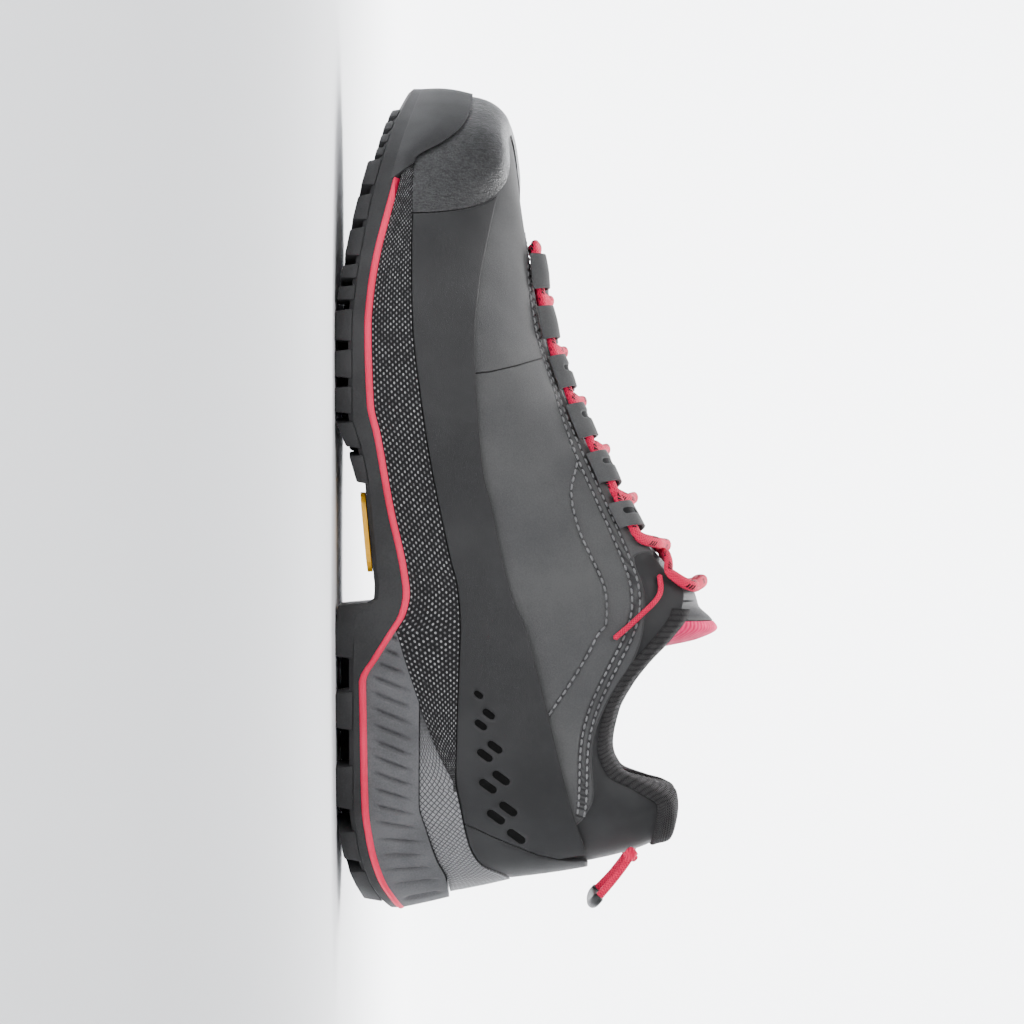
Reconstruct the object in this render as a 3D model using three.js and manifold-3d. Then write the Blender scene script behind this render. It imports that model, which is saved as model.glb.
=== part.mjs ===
// A left approach shoe, in millimetres. X runs toward the toe, Y toward the outer (lateral) side, Z up.
// The origin lies on the ground under the heel, where the heel lugs stand.
import * as THREE from 'three';
import { mergeVertices } from 'three/addons/utils/BufferGeometryUtils.js';
import Module from 'manifold-3d';

const wasm = await Module();
wasm.setup();

// Driving dimensions.
const LENGTH = 272;
const HEEL_OVERHANG = 36;
const BALL_WIDTH = 100;
const HEEL_WIDTH = 80;
const SOLE_HEIGHT = 40;
const COLLAR_HEIGHT = 115;
const CROWN = 8;
const BULGE = 8;
const GAP = 0.3;

// The sole's own sizes.
const LUG_CHAMFER = 1.2;
const EDGE_LUG_WIDTH = 15;
const STUD_RADIUS = 5.5;
const STRIPE_THICKNESS = 2;
const PLATE_BEVEL = 1.5;
const MIDSOLE_SWELL = 0.6;
const CUP_LIP = 1.6;
const WRAP_THICKNESS = 2.6;
const STABILISER_STEP = 3;
const INLAY_PLACE = 0.456;
const INLAY_LENGTH = 26;
const INLAY_WIDTH = 15;
const INLAY_THICKNESS = 1.6;

// The upper's own sizes.
const WALL = 2;
const FEATHER_INSET = 3.5;
const CAP_THICKNESS = 1.6;
const RAND_THICKNESS = 0.9;
const COUNTER_THICKNESS = 1.1;
const INSOLE_THICKNESS = 4;
const TONGUE_THICKNESS = 4.5;
const TONGUE_OVERLAP = 9;
const COLLAR_PADDING = 7;
const HEEL_PADDING = 11;
const COLLAR_DEPTH = 26;
const COLLAR_FRONT = 0.365;
const FRONT_PADDING = 3;
const HEEL_ROLL = 4;
const SIDE_ROLL = 1.5;
const SPINE_BACK = 0.17;
const BINDING_START = 0.35;

// Loops, lace and cords.
const LOOP_WIDTH = 9;
const LOOP_EDGE = 0.4;
const LOOP_RISE = 4.8;
const LOOP_STRAP = 1;
const LACE_DIAMETER = 3.2;
const LACE_STEP = 8;
const LACE_SIDES = 6;
const ROW_START = 0.8;
const TOP_HOOK = 0.405;
const HOOK_DEPTH = 3;
const LACE_END = 0.388;
const EYELET_DIAMETER = 1.8;
const PULL_DIAMETER = 2.7;
const SLEEVE_DIAMETER = 3.6;
const KNOT_RADIUS = 2.6;
const PULL_CLEAR = 2.6;
const PULL_BOW = 2;

// How finely the closed forms are cut: columns round the shoe and rows up its wall.
const RING_COLUMNS = 52;
const WALL_ROWS = 8;
const LOOP_STEPS = 4;

const { clamp, lerp, smoothstep } = THREE.MathUtils;
const point = (x, y, z) => new THREE.Vector3(x, y, z);

// A short table becomes a list of rows with named columns.
function table(columns, rows) {
  const names = columns.split(' ');
  return rows.map((row) => Object.fromEntries(names.map((name, i) => [name, row[i]])));
}

// A smooth curve through one column of a table, with no overshoot between rows.
function curve(rows, column, axis = (s) => s) {
  const x = rows.map((row) => axis(row.s));
  const y = rows.map((row) => row[column]);
  const secant = x.slice(1).map((next, i) => (y[i + 1] - y[i]) / (next - x[i]));
  const slope = x.map((_, i) => {
    if (i === 0) return secant[0];
    if (i === x.length - 1) return secant[i - 1];
    const product = secant[i - 1] * secant[i];
    return product <= 0 ? 0 : (2 * product) / (secant[i - 1] + secant[i]);
  });
  return (s) => {
    const at = clamp(axis(s), x[0], x[x.length - 1]);
    const i = Math.max(0, x.findIndex((edge, k) => k > 0 && at <= edge) - 1);
    const span = x[i + 1] - x[i];
    const u = (at - x[i]) / span;
    const rise = y[i + 1] - y[i];
    const start = slope[i] * span;
    const end = slope[i + 1] * span;
    return y[i] + u * (start + u * (3 * rise - 2 * start - end + u * (start + end - 2 * rise)));
  };
}

// Straight stretches between the rows of a table, for the lines that have corners.
function polyline(rows, column) {
  return (s) => {
    const i = clamp(rows.findIndex((row) => s <= row.s), 1, rows.length - 1);
    const a = rows[i - 1];
    const b = rows[i];
    return lerp(a[column], b[column], clamp((s - a.s) / (b.s - a.s), 0, 1));
  };
}

// A share of a length as an angle, so that a curve through it closes with a round end.
const turn = (share) => Math.acos(1 - 2 * clamp(share, 0, 1)) / Math.PI;
const unturn = (b) => (1 - Math.cos(Math.PI * b)) / 2;

// The ring parameter a runs 0 at the back of the heel, lateral side, 0.5 at the toe, medial side, 1.
function ringShare(a) {
  const w = a - Math.floor(a);
  const lateral = w < 0.5;
  return { lateral, side: lateral ? 'lateral' : 'medial', b: lateral ? 2 * w : 2 * (1 - w) };
}
const ringAt = (s, side) => (side === 'lateral' ? turn(s) / 2 : 1 - turn(s) / 2);

const xOf = (s) => s * LENGTH - HEEL_OVERHANG;
const shareOf = (x) => (x + HEEL_OVERHANG) / LENGTH;
const halfWidth = (s) => lerp(HEEL_WIDTH, BALL_WIDTH, clamp((s - 0.25) / 0.35, 0, 1)) / 2;

// Outline of the sole from above. s is a share of the length, the sides are shares of the half width.
const SOLE_OUTLINE = table('s lateral medial', [
  [0, -0.075, -0.075],
  [0.012, 0.3, -0.37],
  [0.04, 0.56, -0.605],
  [0.075, 0.72, -0.795],
  [0.12, 0.865, -0.935],
  [0.18, 0.97, -1.005],
  [0.26, 1.015, -0.95],
  [0.33, 1.005, -0.845],
  [0.41, 0.985, -0.775],
  [0.48, 0.968, -0.775],
  [0.55, 0.978, -0.82],
  [0.61, 0.99, -0.885],
  [0.67, 1.006, -0.955],
  [0.73, 0.99, -0.974],
  [0.79, 0.925, -0.966],
  [0.84, 0.81, -0.948],
  [0.88, 0.67, -0.915],
  [0.92, 0.52, -0.85],
  [0.95, 0.345, -0.755],
  [0.975, 0.12, -0.64],
  [0.992, -0.075, -0.47],
  [1, -0.24, -0.24],
]);

// Underside: tread is the foot of the lugs and plate the ground between them, as shares of the sole height.
const UNDERSIDE = table('s tread plate', [
  [0, 0.38, 0.4],
  [0.012, 0.22, 0.33],
  [0.034, 0.14, 0.24],
  [0.07, 0.05, 0.155],
  [0.12, 0, 0.11],
  [0.3, 0, 0.11],
  [0.36, 0, 0.12],
  [0.379, 0.04, 0.31],
  [0.392, 0.3, 0.318],
  [0.5, 0.2, 0.25],
  [0.52, 0.17, 0.24],
  [0.56, 0.09, 0.18],
  [0.59, 0, 0.11],
  [0.71, 0, 0.11],
  [0.763, 0.05, 0.15],
  [0.824, 0.13, 0.22],
  [0.87, 0.2, 0.28],
  [0.915, 0.28, 0.36],
  [0.951, 0.38, 0.43],
  [1, 0.55, 0.57],
]);

// Lines on the side of the sole, as shares of the sole height: the foot of the stripe and the rim of the cup.
const STRIPE_LINE = table('s z', [
  [0, 0.48],
  [0.041, 0.325],
  [0.083, 0.247],
  [0.132, 0.206],
  [0.23, 0.195],
  [0.28, 0.19],
  [0.31, 0.3],
  [0.336, 0.41],
  [0.362, 0.515],
  [0.385, 0.545],
  [0.411, 0.525],
  [0.489, 0.412],
  [0.571, 0.315],
  [0.61, 0.258],
  [0.7, 0.24],
  [0.746, 0.265],
  [0.788, 0.312],
  [0.837, 0.392],
  [0.9, 0.5],
  [1, 0.7],
]);
const RIM_LINE = table('s z', [
  [0, 1.41],
  [0.012, 1.36],
  [0.04, 1.17],
  [0.075, 1.07],
  [0.12, 1.01],
  [0.165, 0.965],
  [0.23, 0.975],
  [0.295, 0.99],
  [0.343, 1],
  [0.392, 0.98],
  [0.425, 0.925],
  [0.489, 0.832],
  [0.544, 0.76],
  [0.61, 0.692],
  [0.707, 0.62],
  [0.772, 0.61],
  [0.838, 0.615],
  [0.903, 0.635],
  [0.928, 0.86],
  [0.951, 1.01],
  [0.975, 1.08],
  [1, 1.1],
]);

// The feather edge, where the upper enters the cup. inset is its distance in from the sole's outline as a
// share of the feather inset, z a share of the sole height, full how boxy the wall is, crown and the two
// bulges shares of the crown and bulge.
const FEATHER = table('s inset z full crown lateral medial', [
  [0, 2.8, 0.725, 1.6, 0, 0, 0],
  [0.05, 2, 0.725, 1.65, 0, 0, 0],
  [0.12, 1.2, 0.72, 1.7, 0, 0, 0],
  [0.2, 0.8, 0.71, 1.65, 0, 0, 0.1],
  [0.3, 0.7, 0.7, 1.25, 0, 0, 0.35],
  [0.38, 0.7, 0.66, 1.1, 0, 0, 0.75],
  [0.47, 0.7, 0.6, 1.3, 0.1, 0, 0.85],
  [0.6, 0.7, 0.46, 1.55, 0.6, 0.05, 0.65],
  [0.68, 0.7, 0.4, 1.85, 1, 0.08, 0.45],
  [0.77, 0.75, 0.41, 2.05, 1, 0.08, 0.35],
  [0.86, 0.9, 0.48, 2.7, 0.8, 0.05, 0.2],
  [0.93, 1, 0.6, 3.6, 0.5, 0, 0.1],
  [1, 1.2, 0.725, 4.6, 0.45, 0, 0],
]);

// The upper's top edge: collar from the heel to its highest point, then the throat down to the vamp.
// The sides are shares of the half width and z a share of the collar height.
const TOP_EDGE = table('s lateral medial z', [
  [0.085, -0.083, -0.083, 0.915],
  [0.094, 0.21, -0.385, 0.92],
  [0.134, 0.3675, -0.575, 0.93],
  [0.155, 0.46, -0.64, 0.865],
  [0.174, 0.545, -0.68, 0.785],
  [0.205, 0.615, -0.715, 0.758],
  [0.243, 0.635, -0.725, 0.775],
  [0.272, 0.623, -0.719, 0.81],
  [0.298, 0.604, -0.705, 0.856],
  [0.33, 0.577, -0.686, 0.926],
  [0.36, 0.54, -0.665, 0.975],
  [0.385, 0.51, -0.645, 0.985],
  [0.42, 0.457, -0.61, 0.92],
  [0.463, 0.397, -0.57, 0.845],
  [0.487, 0.365, -0.52, 0.81],
  [0.539, 0.288, -0.445, 0.74],
  [0.59, 0.2475, -0.404, 0.678],
  [0.659, 0.192, -0.378, 0.612],
  [0.725, 0.158, -0.392, 0.572],
  [0.785, 0.122, -0.406, 0.544],
  [0.805, 0.09, -0.38, 0.536],
  [0.812, -0.14, -0.14, 0.534],
]);

const soleSide = {
  lateral: curve(SOLE_OUTLINE, 'lateral', turn),
  medial: curve(SOLE_OUTLINE, 'medial', turn),
};
const treadZ = (s) => SOLE_HEIGHT * polyline(UNDERSIDE, 'tread')(s);
const plateZ = (s) => SOLE_HEIGHT * polyline(UNDERSIDE, 'plate')(s);
const stripeShare = curve(STRIPE_LINE, 'z');
const rimShare = curve(RIM_LINE, 'z');
const stripeZ = (s) => SOLE_HEIGHT * stripeShare(s);
const rimZ = (s) => SOLE_HEIGHT * rimShare(s);

// A point of the sole's outline, moved in by inset.
function outlinePoint(a) {
  const { side, b } = ringShare(a);
  const s = unturn(b);
  return point(xOf(s), soleSide[side](s) * halfWidth(s), 0);
}
function outlineAt(a, inset = 0) {
  const step = 0.002;
  const ahead = outlinePoint(a + step);
  const behind = outlinePoint(a - step);
  const tangent = ahead.sub(behind).normalize();
  const outward = point(-tangent.y, tangent.x, 0);
  return outlinePoint(a).addScaledVector(outward, -inset);
}

const featherOf = Object.fromEntries(
  ['inset', 'z', 'full', 'crown', 'lateral', 'medial'].map((name) => [name, curve(FEATHER, name)]),
);
const topStart = TOP_EDGE[0].s;
const topSpan = TOP_EDGE[TOP_EDGE.length - 1].s - topStart;
const topTurn = (s) => turn((s - topStart) / topSpan);
const topOf = Object.fromEntries(
  ['lateral', 'medial', 'z'].map((name) => [name, curve(TOP_EDGE, name, topTurn)]),
);
const topShare = (b) => topStart + topSpan * unturn(b);

function featherPoint(a) {
  const s = unturn(ringShare(a).b);
  return outlineAt(a, FEATHER_INSET * featherOf.inset(s)).setZ(SOLE_HEIGHT * featherOf.z(s));
}
function topPoint(a) {
  const { side, b } = ringShare(a);
  const s = topShare(b);
  return point(xOf(s), topOf[side](s) * halfWidth(s), COLLAR_HEIGHT * topOf.z(s));
}

// What the form needs at one place round the ring, worked out once.
const ringFrames = new Map();
function ringFrame(a) {
  if (!ringFrames.has(a)) {
    const { side, b } = ringShare(a);
    const s = unturn(b);
    ringFrames.set(a, {
      feather: featherPoint(a),
      top: topPoint(a),
      outward: outlineAt(a).sub(outlineAt(a, 1)),
      power: 2 / featherOf.full(s),
      crown: CROWN * featherOf.crown(s),
      bulge: BULGE * featherOf[side](s),
    });
  }
  return ringFrames.get(a);
}

// The upper's own surface: a goes round the shoe, t climbs from the feather edge (0) to the top edge (1).
function formPoint(a, t) {
  const { feather, top, outward, power, crown, bulge } = ringFrame(a);
  const angle = (clamp(t, 0, 1) * Math.PI) / 2;
  const inward = 1 - Math.cos(angle) ** power;
  const upward = Math.sin(angle) ** power;
  const swell = bulge * Math.sin(Math.PI * Math.min(1, upward * 1.15));
  const place = feather.clone().lerp(top, inward).addScaledVector(outward, swell);
  return place.setZ(feather.z + (top.z - crown - feather.z) * upward + crown * inward * inward);
}
function formNormal(a, t) {
  const step = 0.004;
  const low = clamp(t, 0.02, 0.98 - step);
  const round = formPoint(a + step, low).sub(formPoint(a - step, low));
  const climb = formPoint(a, low + step).sub(formPoint(a, low - step));
  return climb.cross(round).normalize();
}
const formAt = (a, t, offset) => formPoint(a, t).addScaledVector(formNormal(a, t), offset);

// Where the form passes a height, going up the wall.
function climbTo(a, z) {
  let low = 0;
  let high = 1;
  for (let i = 0; i < 24; i += 1) {
    const middle = (low + high) / 2;
    if (formPoint(a, middle).z < z) low = middle;
    else high = middle;
  }
  return low;
}

// Skin over a row of loops with equally many points. The first and last loop are closed by strips.
function loft(loops, joined = false) {
  const count = loops[0].length;
  const index = [];
  const at = (i, j) => (i % loops.length) * count + (j % count);
  for (let i = 0; i < (joined ? loops.length : loops.length - 1); i += 1) {
    for (let j = 0; j < count; j += 1) {
      index.push(at(i, j), at(i + 1, j), at(i, j + 1));
      index.push(at(i, j + 1), at(i + 1, j), at(i + 1, j + 1));
    }
  }
  for (let j = 0; j < count / 2 - 1 && !joined; j += 1) {
    const last = loops.length - 1;
    const k = count - 1 - j;
    index.push(at(0, j), at(0, j + 1), at(0, k));
    index.push(at(0, j + 1), at(0, k - 1), at(0, k));
    index.push(at(last, j), at(last, k), at(last, j + 1));
    index.push(at(last, j + 1), at(last, k), at(last, k - 1));
  }
  const geometry = new THREE.BufferGeometry().setFromPoints(loops.flat());
  geometry.setIndex(index);
  return geometry;
}

// A boolean solid from a closed geometry, turned the right way out.
function solidOf(geometry) {
  const bare = geometry.clone();
  bare.deleteAttribute('normal');
  bare.deleteAttribute('uv');
  bare.clearGroups();
  const merged = mergeVertices(bare, 1e-4);
  const vertProperties = Float32Array.from(merged.attributes.position.array);
  const triVerts = facingOut(vertProperties, dropFlat(merged.index.array));
  return new wasm.Manifold(new wasm.Mesh({ numProp: 3, vertProperties, triVerts }));
}
function dropFlat(index) {
  const kept = [];
  for (let i = 0; i < index.length; i += 3) {
    const [a, b, c] = [index[i], index[i + 1], index[i + 2]];
    if (a !== b && b !== c && c !== a) kept.push(a, b, c);
  }
  return kept;
}
function facingOut(vertices, index) {
  const corner = (i) => new THREE.Vector3().fromArray(vertices, index[i] * 3);
  let volume = 0;
  for (let i = 0; i < index.length; i += 3) {
    volume += corner(i).dot(corner(i + 1).cross(corner(i + 2)));
  }
  const triangles = Uint32Array.from(index);
  return volume > 0 ? triangles : triangles.reverse();
}
const union = (solids) => solids.reduce((whole, solid) => whole.add(solid));

// Prisms that cut along a line drawn from the side (x, z) or from above (x, y).
function sidePrism(corners) {
  const shape = new THREE.Shape(corners.map(([s, z]) => new THREE.Vector2(xOf(s), z)));
  const geometry = new THREE.ExtrudeGeometry(shape, { depth: 2 * BALL_WIDTH, bevelEnabled: false });
  geometry.rotateX(Math.PI / 2);
  geometry.translate(0, BALL_WIDTH, 0);
  return solidOf(geometry);
}
function planPrism(corners) {
  const shape = new THREE.Shape(corners.map(([x, y]) => new THREE.Vector2(x, y)));
  return solidOf(new THREE.ExtrudeGeometry(shape, { depth: 2 * COLLAR_HEIGHT, bevelEnabled: false }));
}

// A closed form with one loop of the ring for each level, from the bottom up.
const ringColumns = (count) => Array.from({ length: count }, (_, j) => (j + 0.5) / count);
function ringSolid(levels, count = RING_COLUMNS) {
  return solidOf(loft(levels.map((level) => ringColumns(count).map(level))));
}

// A level of the sole: its outline at an inset, at the height that a line of the side gives.
const soleLevel = (inset, height) => (a) => {
  const place = outlineAt(a, inset);
  return place.setZ(height(unturn(ringShare(a).b)));
};

const steps = (count, from = 0, to = 1) =>
  Array.from({ length: count + 1 }, (_, i) => lerp(from, to, i / count));

// The upper's form as a closed body, grown by an offset, for the cup that it stands in.
const wallClimb = (rows = WALL_ROWS) => steps(WALL_ROWS).slice(0, rows + 1);
function formBody(offset) {
  const rows = wallClimb(WALL_ROWS - 2).map((t) => (a) => formAt(a, t, offset));
  const foot = (a) => formAt(a, 0, offset).setZ(featherPoint(a).z - offset);
  return ringSolid([foot, ...rows]);
}

const colour = (color, roughness) => new THREE.MeshStandardMaterial({ color, roughness, metalness: 0 });
const MATERIALS = {
  rubber: colour(0x3f3f41, 0.75),
  nubuck: colour(0x646464, 0.95),
  leather: colour(0x424244, 0.6),
  mesh: colour(0x29292b, 0.9),
  foam: colour(0x5a5a5c, 0.85),
  cup: colour(0x7a7a7a, 0.7),
  stripe: colour(0xf0596f, 0.7),
  lace: colour(0xf34e6b, 0.85),
  binding: colour(0xf5508a, 0.85),
  knit: colour(0x2c2a2b, 0.95),
  insole: colour(0x777777, 0.95),
  inlay: colour(0xe6a528, 0.6),
};

const shoe = new THREE.Group();
function add(name, solid, material) {
  const { vertProperties, triVerts } = solid.getMesh();
  const geometry = new THREE.BufferGeometry();
  geometry.setAttribute('position', new THREE.BufferAttribute(vertProperties, 3));
  geometry.setIndex(new THREE.BufferAttribute(triVerts, 1));
  geometry.computeVertexNormals();
  const mesh = new THREE.Mesh(geometry, material);
  mesh.name = name;
  shoe.add(mesh);
}

// The upper: one hollow wall, open at the collar, the throat and underneath.
function makeUpper() {
  const columns = ringColumns(RING_COLUMNS);
  const outer = wallClimb().map((t) => columns.map((a) => formAt(a, t, 0)));
  const inner = wallClimb().toReversed().map((t) => columns.map((a) => formAt(a, t, -WALL)));
  return solidOf(loft([...outer, ...inner], true));
}
add('upper', makeUpper(), MATERIALS.nubuck);

// The columns of the ring from one place to another, going up from below 0 where it passes the heel.
const columnsBetween = (from, to) => [-1, 0]
  .flatMap((lap) => ringColumns(RING_COLUMNS).map((a) => a + lap))
  .filter((a) => a >= from && a <= to);

// A closed shell over a stretch of the form, between two offsets from it.
function formShell(from, to, rows, thickness) {
  const climb = wallClimb(rows);
  return solidOf(loft(columnsBetween(from, to).toReversed().map((a) => [
    ...climb.map((t) => formAt(a, t, GAP + thickness)),
    ...climb.toReversed().map((t) => formAt(a, t, GAP)),
  ])));
}

// How far down from the top edge a place on the form lies, as its t.
function depthTo(a, depth) {
  const edge = formPoint(a, 1);
  let low = 0;
  let high = 1;
  for (let i = 0; i < 20; i += 1) {
    const middle = (low + high) / 2;
    if (formPoint(a, middle).distanceTo(edge) > depth) low = middle;
    else high = middle;
  }
  return low;
}
const topRingAt = (s, side) => (side === 'lateral' ? topTurn(s) / 2 : 1 - topTurn(s) / 2);

// The place on the form straight under a point seen from above, found by small steps from a start.
function climbOf(a, inward) {
  return (2 / Math.PI) * Math.acos((1 - clamp(inward, 0, 1)) ** (1 / ringFrame(a).power));
}
function formUnder(target, start) {
  const at = (a, inward) => formPoint(a, climbOf(a, inward));
  const step = 0.002;
  let [a, inward] = start;
  for (let i = 0; i < 5; i += 1) {
    const here = at(a, inward);
    const round = at(a + step, inward).sub(here).divideScalar(step);
    const climb = at(a, inward - step).sub(here).divideScalar(-step);
    const miss = target.clone().sub(here);
    const size = round.x * climb.y - round.y * climb.x;
    a += (miss.x * climb.y - miss.y * climb.x) / size;
    inward = clamp(inward + (round.x * miss.y - round.y * miss.x) / size, 0.3, 1);
  }
  return { a, t: climbOf(a, inward), inward };
}

// A place on the form near its top edge: square out from the edge by a depth, then off the form.
function nearEdge(s, side, depth, offset) {
  const a = topRingAt(s, side);
  const edge = topPoint(a);
  const tangent = topPoint(a + 0.002).sub(topPoint(a - 0.002)).setZ(0).normalize();
  const outward = point(-tangent.y, tangent.x, 0);
  let reach = depth * 0.6;
  let found = { a, inward: 0.9 };
  for (let i = 0; i < 4; i += 1) {
    const target = edge.clone().addScaledVector(outward, reach);
    found = formUnder(target, [found.a, Math.min(found.inward, 0.98)]);
    const distance = formPoint(found.a, found.t).distanceTo(edge);
    reach *= clamp(depth / Math.max(distance, 0.05), 0.5, 2);
  }
  return formAt(found.a, found.t, offset);
}

// The cup's rim stands just off the upper.
function rimPoint(a, lip) {
  const z = rimZ(unturn(ringShare(a).b));
  return formAt(a, climbTo(a, z), GAP + lip).setZ(z);
}

const cupSpace = formBody(GAP);
const midsoleFoot = (s) => stripeZ(s) + STRIPE_THICKNESS + GAP;

// A block of the midsole from the stripe up to the rim, hollowed for the upper.
function midsoleBlock(step, foot = midsoleFoot) {
  const stepAt = (a) => step * (1 - 0.6 * smoothstep(unturn(ringShare(a).b), 0.02, 0.16));
  const low = (a) => soleLevel(0.4 + stepAt(a), foot)(a);
  const rim = (a) => rimPoint(a, CUP_LIP);
  const middle = (a) => {
    const outward = outlineAt(a).sub(outlineAt(a, 1));
    return low(a).lerp(rim(a), 0.55).addScaledVector(outward, MIDSOLE_SWELL);
  };
  return ringSolid([low, middle, rim]).subtract(cupSpace);
}

// Cuts seen from the side, drawn as share of the length and share of the sole height.
const solePrism = (rows, shift = 0) =>
  sidePrism(rows.map((row) => [row.s, row.z * SOLE_HEIGHT])).translate([shift, 0, shift]);
const HEEL_SEAM = table('s z', [
  [0.375, 0.2],
  [0.355, 0.44],
  [0.301, 0.57],
  [0.262, 0.657],
  [0.23, 0.73],
  [0.197, 0.82],
  [0.158, 0.95],
  [0.14, 1.6],
  [-0.1, 1.6],
  [-0.1, 0.2],
]);
const WEDGE_TOP = table('s z', [
  [0.5, 0.66],
  [0.246, 0.675],
  [0.132, 0.67],
  [0.099, 0.725],
  [0.057, 0.81],
  [0.024, 0.89],
  [-0.1, 0.95],
  [-0.1, 0],
  [0.5, 0],
]);
const TOE_SEAM = table('s z', [
  [0.874, 0],
  [0.878, 0.45],
  [0.909, 0.7],
  [0.909, 2],
  [1.1, 2],
  [1.1, 0],
]);
const behindSeam = solePrism(HEEL_SEAM);
const underWedgeTop = solePrism(WEDGE_TOP);
const toeEnd = solePrism(TOE_SEAM);
const toeEndWithGap = toeEnd.add(toeEnd.translate([-GAP, 0, 0]));

function makeOutsole() {
  const plate = ringSolid([
    soleLevel(PLATE_BEVEL, plateZ),
    soleLevel(0.2, (s) => plateZ(s) + PLATE_BEVEL),
    soleLevel(0.2, stripeZ),
  ]);
  const wrap = ringSolid([
    soleLevel(0.2, (s) => stripeZ(s) - 1),
    (a) => rimPoint(a, WRAP_THICKNESS),
  ]).intersect(toeEnd);
  const treads = LUGS.flatMap((lug) => [edgeLug(lug, 'lateral'), edgeLug(lug, 'medial')]);
  const studs = STUDS.map(hexStud);
  return union([plate, wrap, ...treads, ...studs]).subtract(cupSpace);
}

// The edge lugs, each from s to end along the sole, the same on both sides.
const LUGS = table('s end', [
  [0.01, 0.05],
  [0.062, 0.1],
  [0.126, 0.18],
  [0.222, 0.268],
  [0.307, 0.374],
  [0.514, 0.549],
  [0.556, 0.588],
  [0.597, 0.63],
  [0.639, 0.674],
  [0.683, 0.722],
  [0.732, 0.75],
  [0.758, 0.776],
  [0.785, 0.821],
  [0.829, 0.862],
  [0.872, 0.906],
]);
// Round-edged studs inside them: one line down the heel, from the origin on, and two under the forefoot.
const STUDS = [
  ...[HEEL_OVERHANG / LENGTH, 0.23].map((s) => ({ s, y: 0 })),
  ...[0.57, 0.63, 0.69, 0.75, 0.81, 0.87].flatMap((s) => [{ s, y: -0.29 }, { s, y: 0.17 }]),
];

function lugBody(corners) {
  const centre = point(0, 0, 0);
  corners.forEach((corner) => centre.addScaledVector(corner, 1 / corners.length));
  const reach = Math.max(...corners.map((corner) => corner.distanceTo(centre)));
  const shrink = LUG_CHAMFER / reach;
  const foot = corners.map((corner) => {
    const place = corner.clone().lerp(centre, shrink);
    return place.setZ(treadZ(shareOf(place.x)));
  });
  const root = corners.map((corner) => corner.clone().setZ(plateZ(shareOf(corner.x)) + PLATE_BEVEL));
  return solidOf(loft([foot, root]));
}
function edgeLug({ s, end }, side) {
  const places = [s, (s + end) / 2, end].map((share) => ringAt(share, side));
  const outer = places.map((a) => outlineAt(a, 0.2));
  const inner = places.toReversed().map((a) => outlineAt(a, EDGE_LUG_WIDTH));
  return lugBody([...outer, ...inner]);
}
function hexStud({ s, y }) {
  const middle = point(xOf(s), y * halfWidth(s), 0);
  const corners = steps(5, 0.5, 5.5).map((turnShare) => {
    const angle = (turnShare * Math.PI) / 3;
    return middle.clone().add(point(STUD_RADIUS * Math.cos(angle), STUD_RADIUS * Math.sin(angle), 0));
  });
  return lugBody(corners);
}
add('outsole', makeOutsole(), MATERIALS.rubber);

function makeStripe() {
  const layer = ringSolid([
    soleLevel(0, (s) => stripeZ(s) + GAP),
    soleLevel(0, (s) => stripeZ(s) + STRIPE_THICKNESS),
  ]);
  return layer.subtract(toeEndWithGap).subtract(cupSpace);
}
add('sole_stripe', makeStripe(), MATERIALS.stripe);

const seamWithGap = behindSeam.add(solePrism(HEEL_SEAM, GAP));
add('midsole', midsoleBlock(0).subtract(seamWithGap).subtract(toeEndWithGap), MATERIALS.mesh);
add('heel_wedge', midsoleBlock(0).intersect(behindSeam).intersect(underWedgeTop), MATERIALS.foam);
const wedgeTopWithGap = solePrism(WEDGE_TOP).translate([0, 0, GAP]);
add(
  'heel_stabiliser',
  midsoleBlock(STABILISER_STEP).intersect(behindSeam).subtract(wedgeTopWithGap),
  MATERIALS.cup,
);

// The pill-shaped inlay under the arch, near the lateral edge.
function makeInlay() {
  const middle = outlineAt(ringAt(INLAY_PLACE, 'lateral'), INLAY_WIDTH / 2 + 1);
  const straight = (INLAY_LENGTH - INLAY_WIDTH) / 2;
  const pill = ringColumns(16).map((share) => {
    const angle = Math.PI * (1 - 2 * share);
    const x = Math.cos(angle) * (INLAY_WIDTH / 2);
    const y = Math.sin(angle) * (INLAY_WIDTH / 2);
    return middle.clone().add(point(x + Math.sign(x) * straight, y, 0));
  });
  const level = (drop) => pill.map((place) => place.clone().setZ(plateZ(shareOf(place.x)) - drop));
  return solidOf(loft([level(GAP + INLAY_THICKNESS), level(GAP)]));
}
add('arch_inlay', makeInlay(), MATERIALS.inlay);

// Overlays on the upper, cut from shells of its own form.
const capRegion = (shift) => planPrism([
  ...CAP_EDGE.map((row) => [xOf(row.s) - shift, (row.y * BALL_WIDTH) / 2]),
  [xOf(1.1), -BALL_WIDTH],
  [xOf(1.1), BALL_WIDTH],
]);
const CAP_EDGE = table('y s', [
  [1.2, 0.82],
  [0.84, 0.818],
  [0.7, 0.812],
  [0.61, 0.819],
  [0.47, 0.856],
  [0.33, 0.889],
  [0.19, 0.915],
  [0.05, 0.933],
  [-0.09, 0.941],
  [-0.23, 0.94],
  [-0.31, 0.932],
  [-0.44, 0.9],
  [-0.55, 0.873],
  [-0.65, 0.854],
  [-0.8, 0.838],
  [-1.2, 0.832],
]);
const RAND_TOP = table('s z', [
  [0.9, 0.47],
  [0.805, 0.421],
  [0.749, 0.398],
  [0.691, 0.387],
  [0.593, 0.398],
  [0.528, 0.413],
  [0.489, 0.436],
  [0.424, 0.468],
  [0.375, 0.5],
  [0.35, 0.527],
  [0.288, 0.567],
  [0.236, 0.598],
  [0.181, 0.629],
  [0.132, 0.659],
  [0.08, 0.7],
  [-0.1, 0.72],
  [-0.1, 0],
  [0.9, 0],
]);
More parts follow.
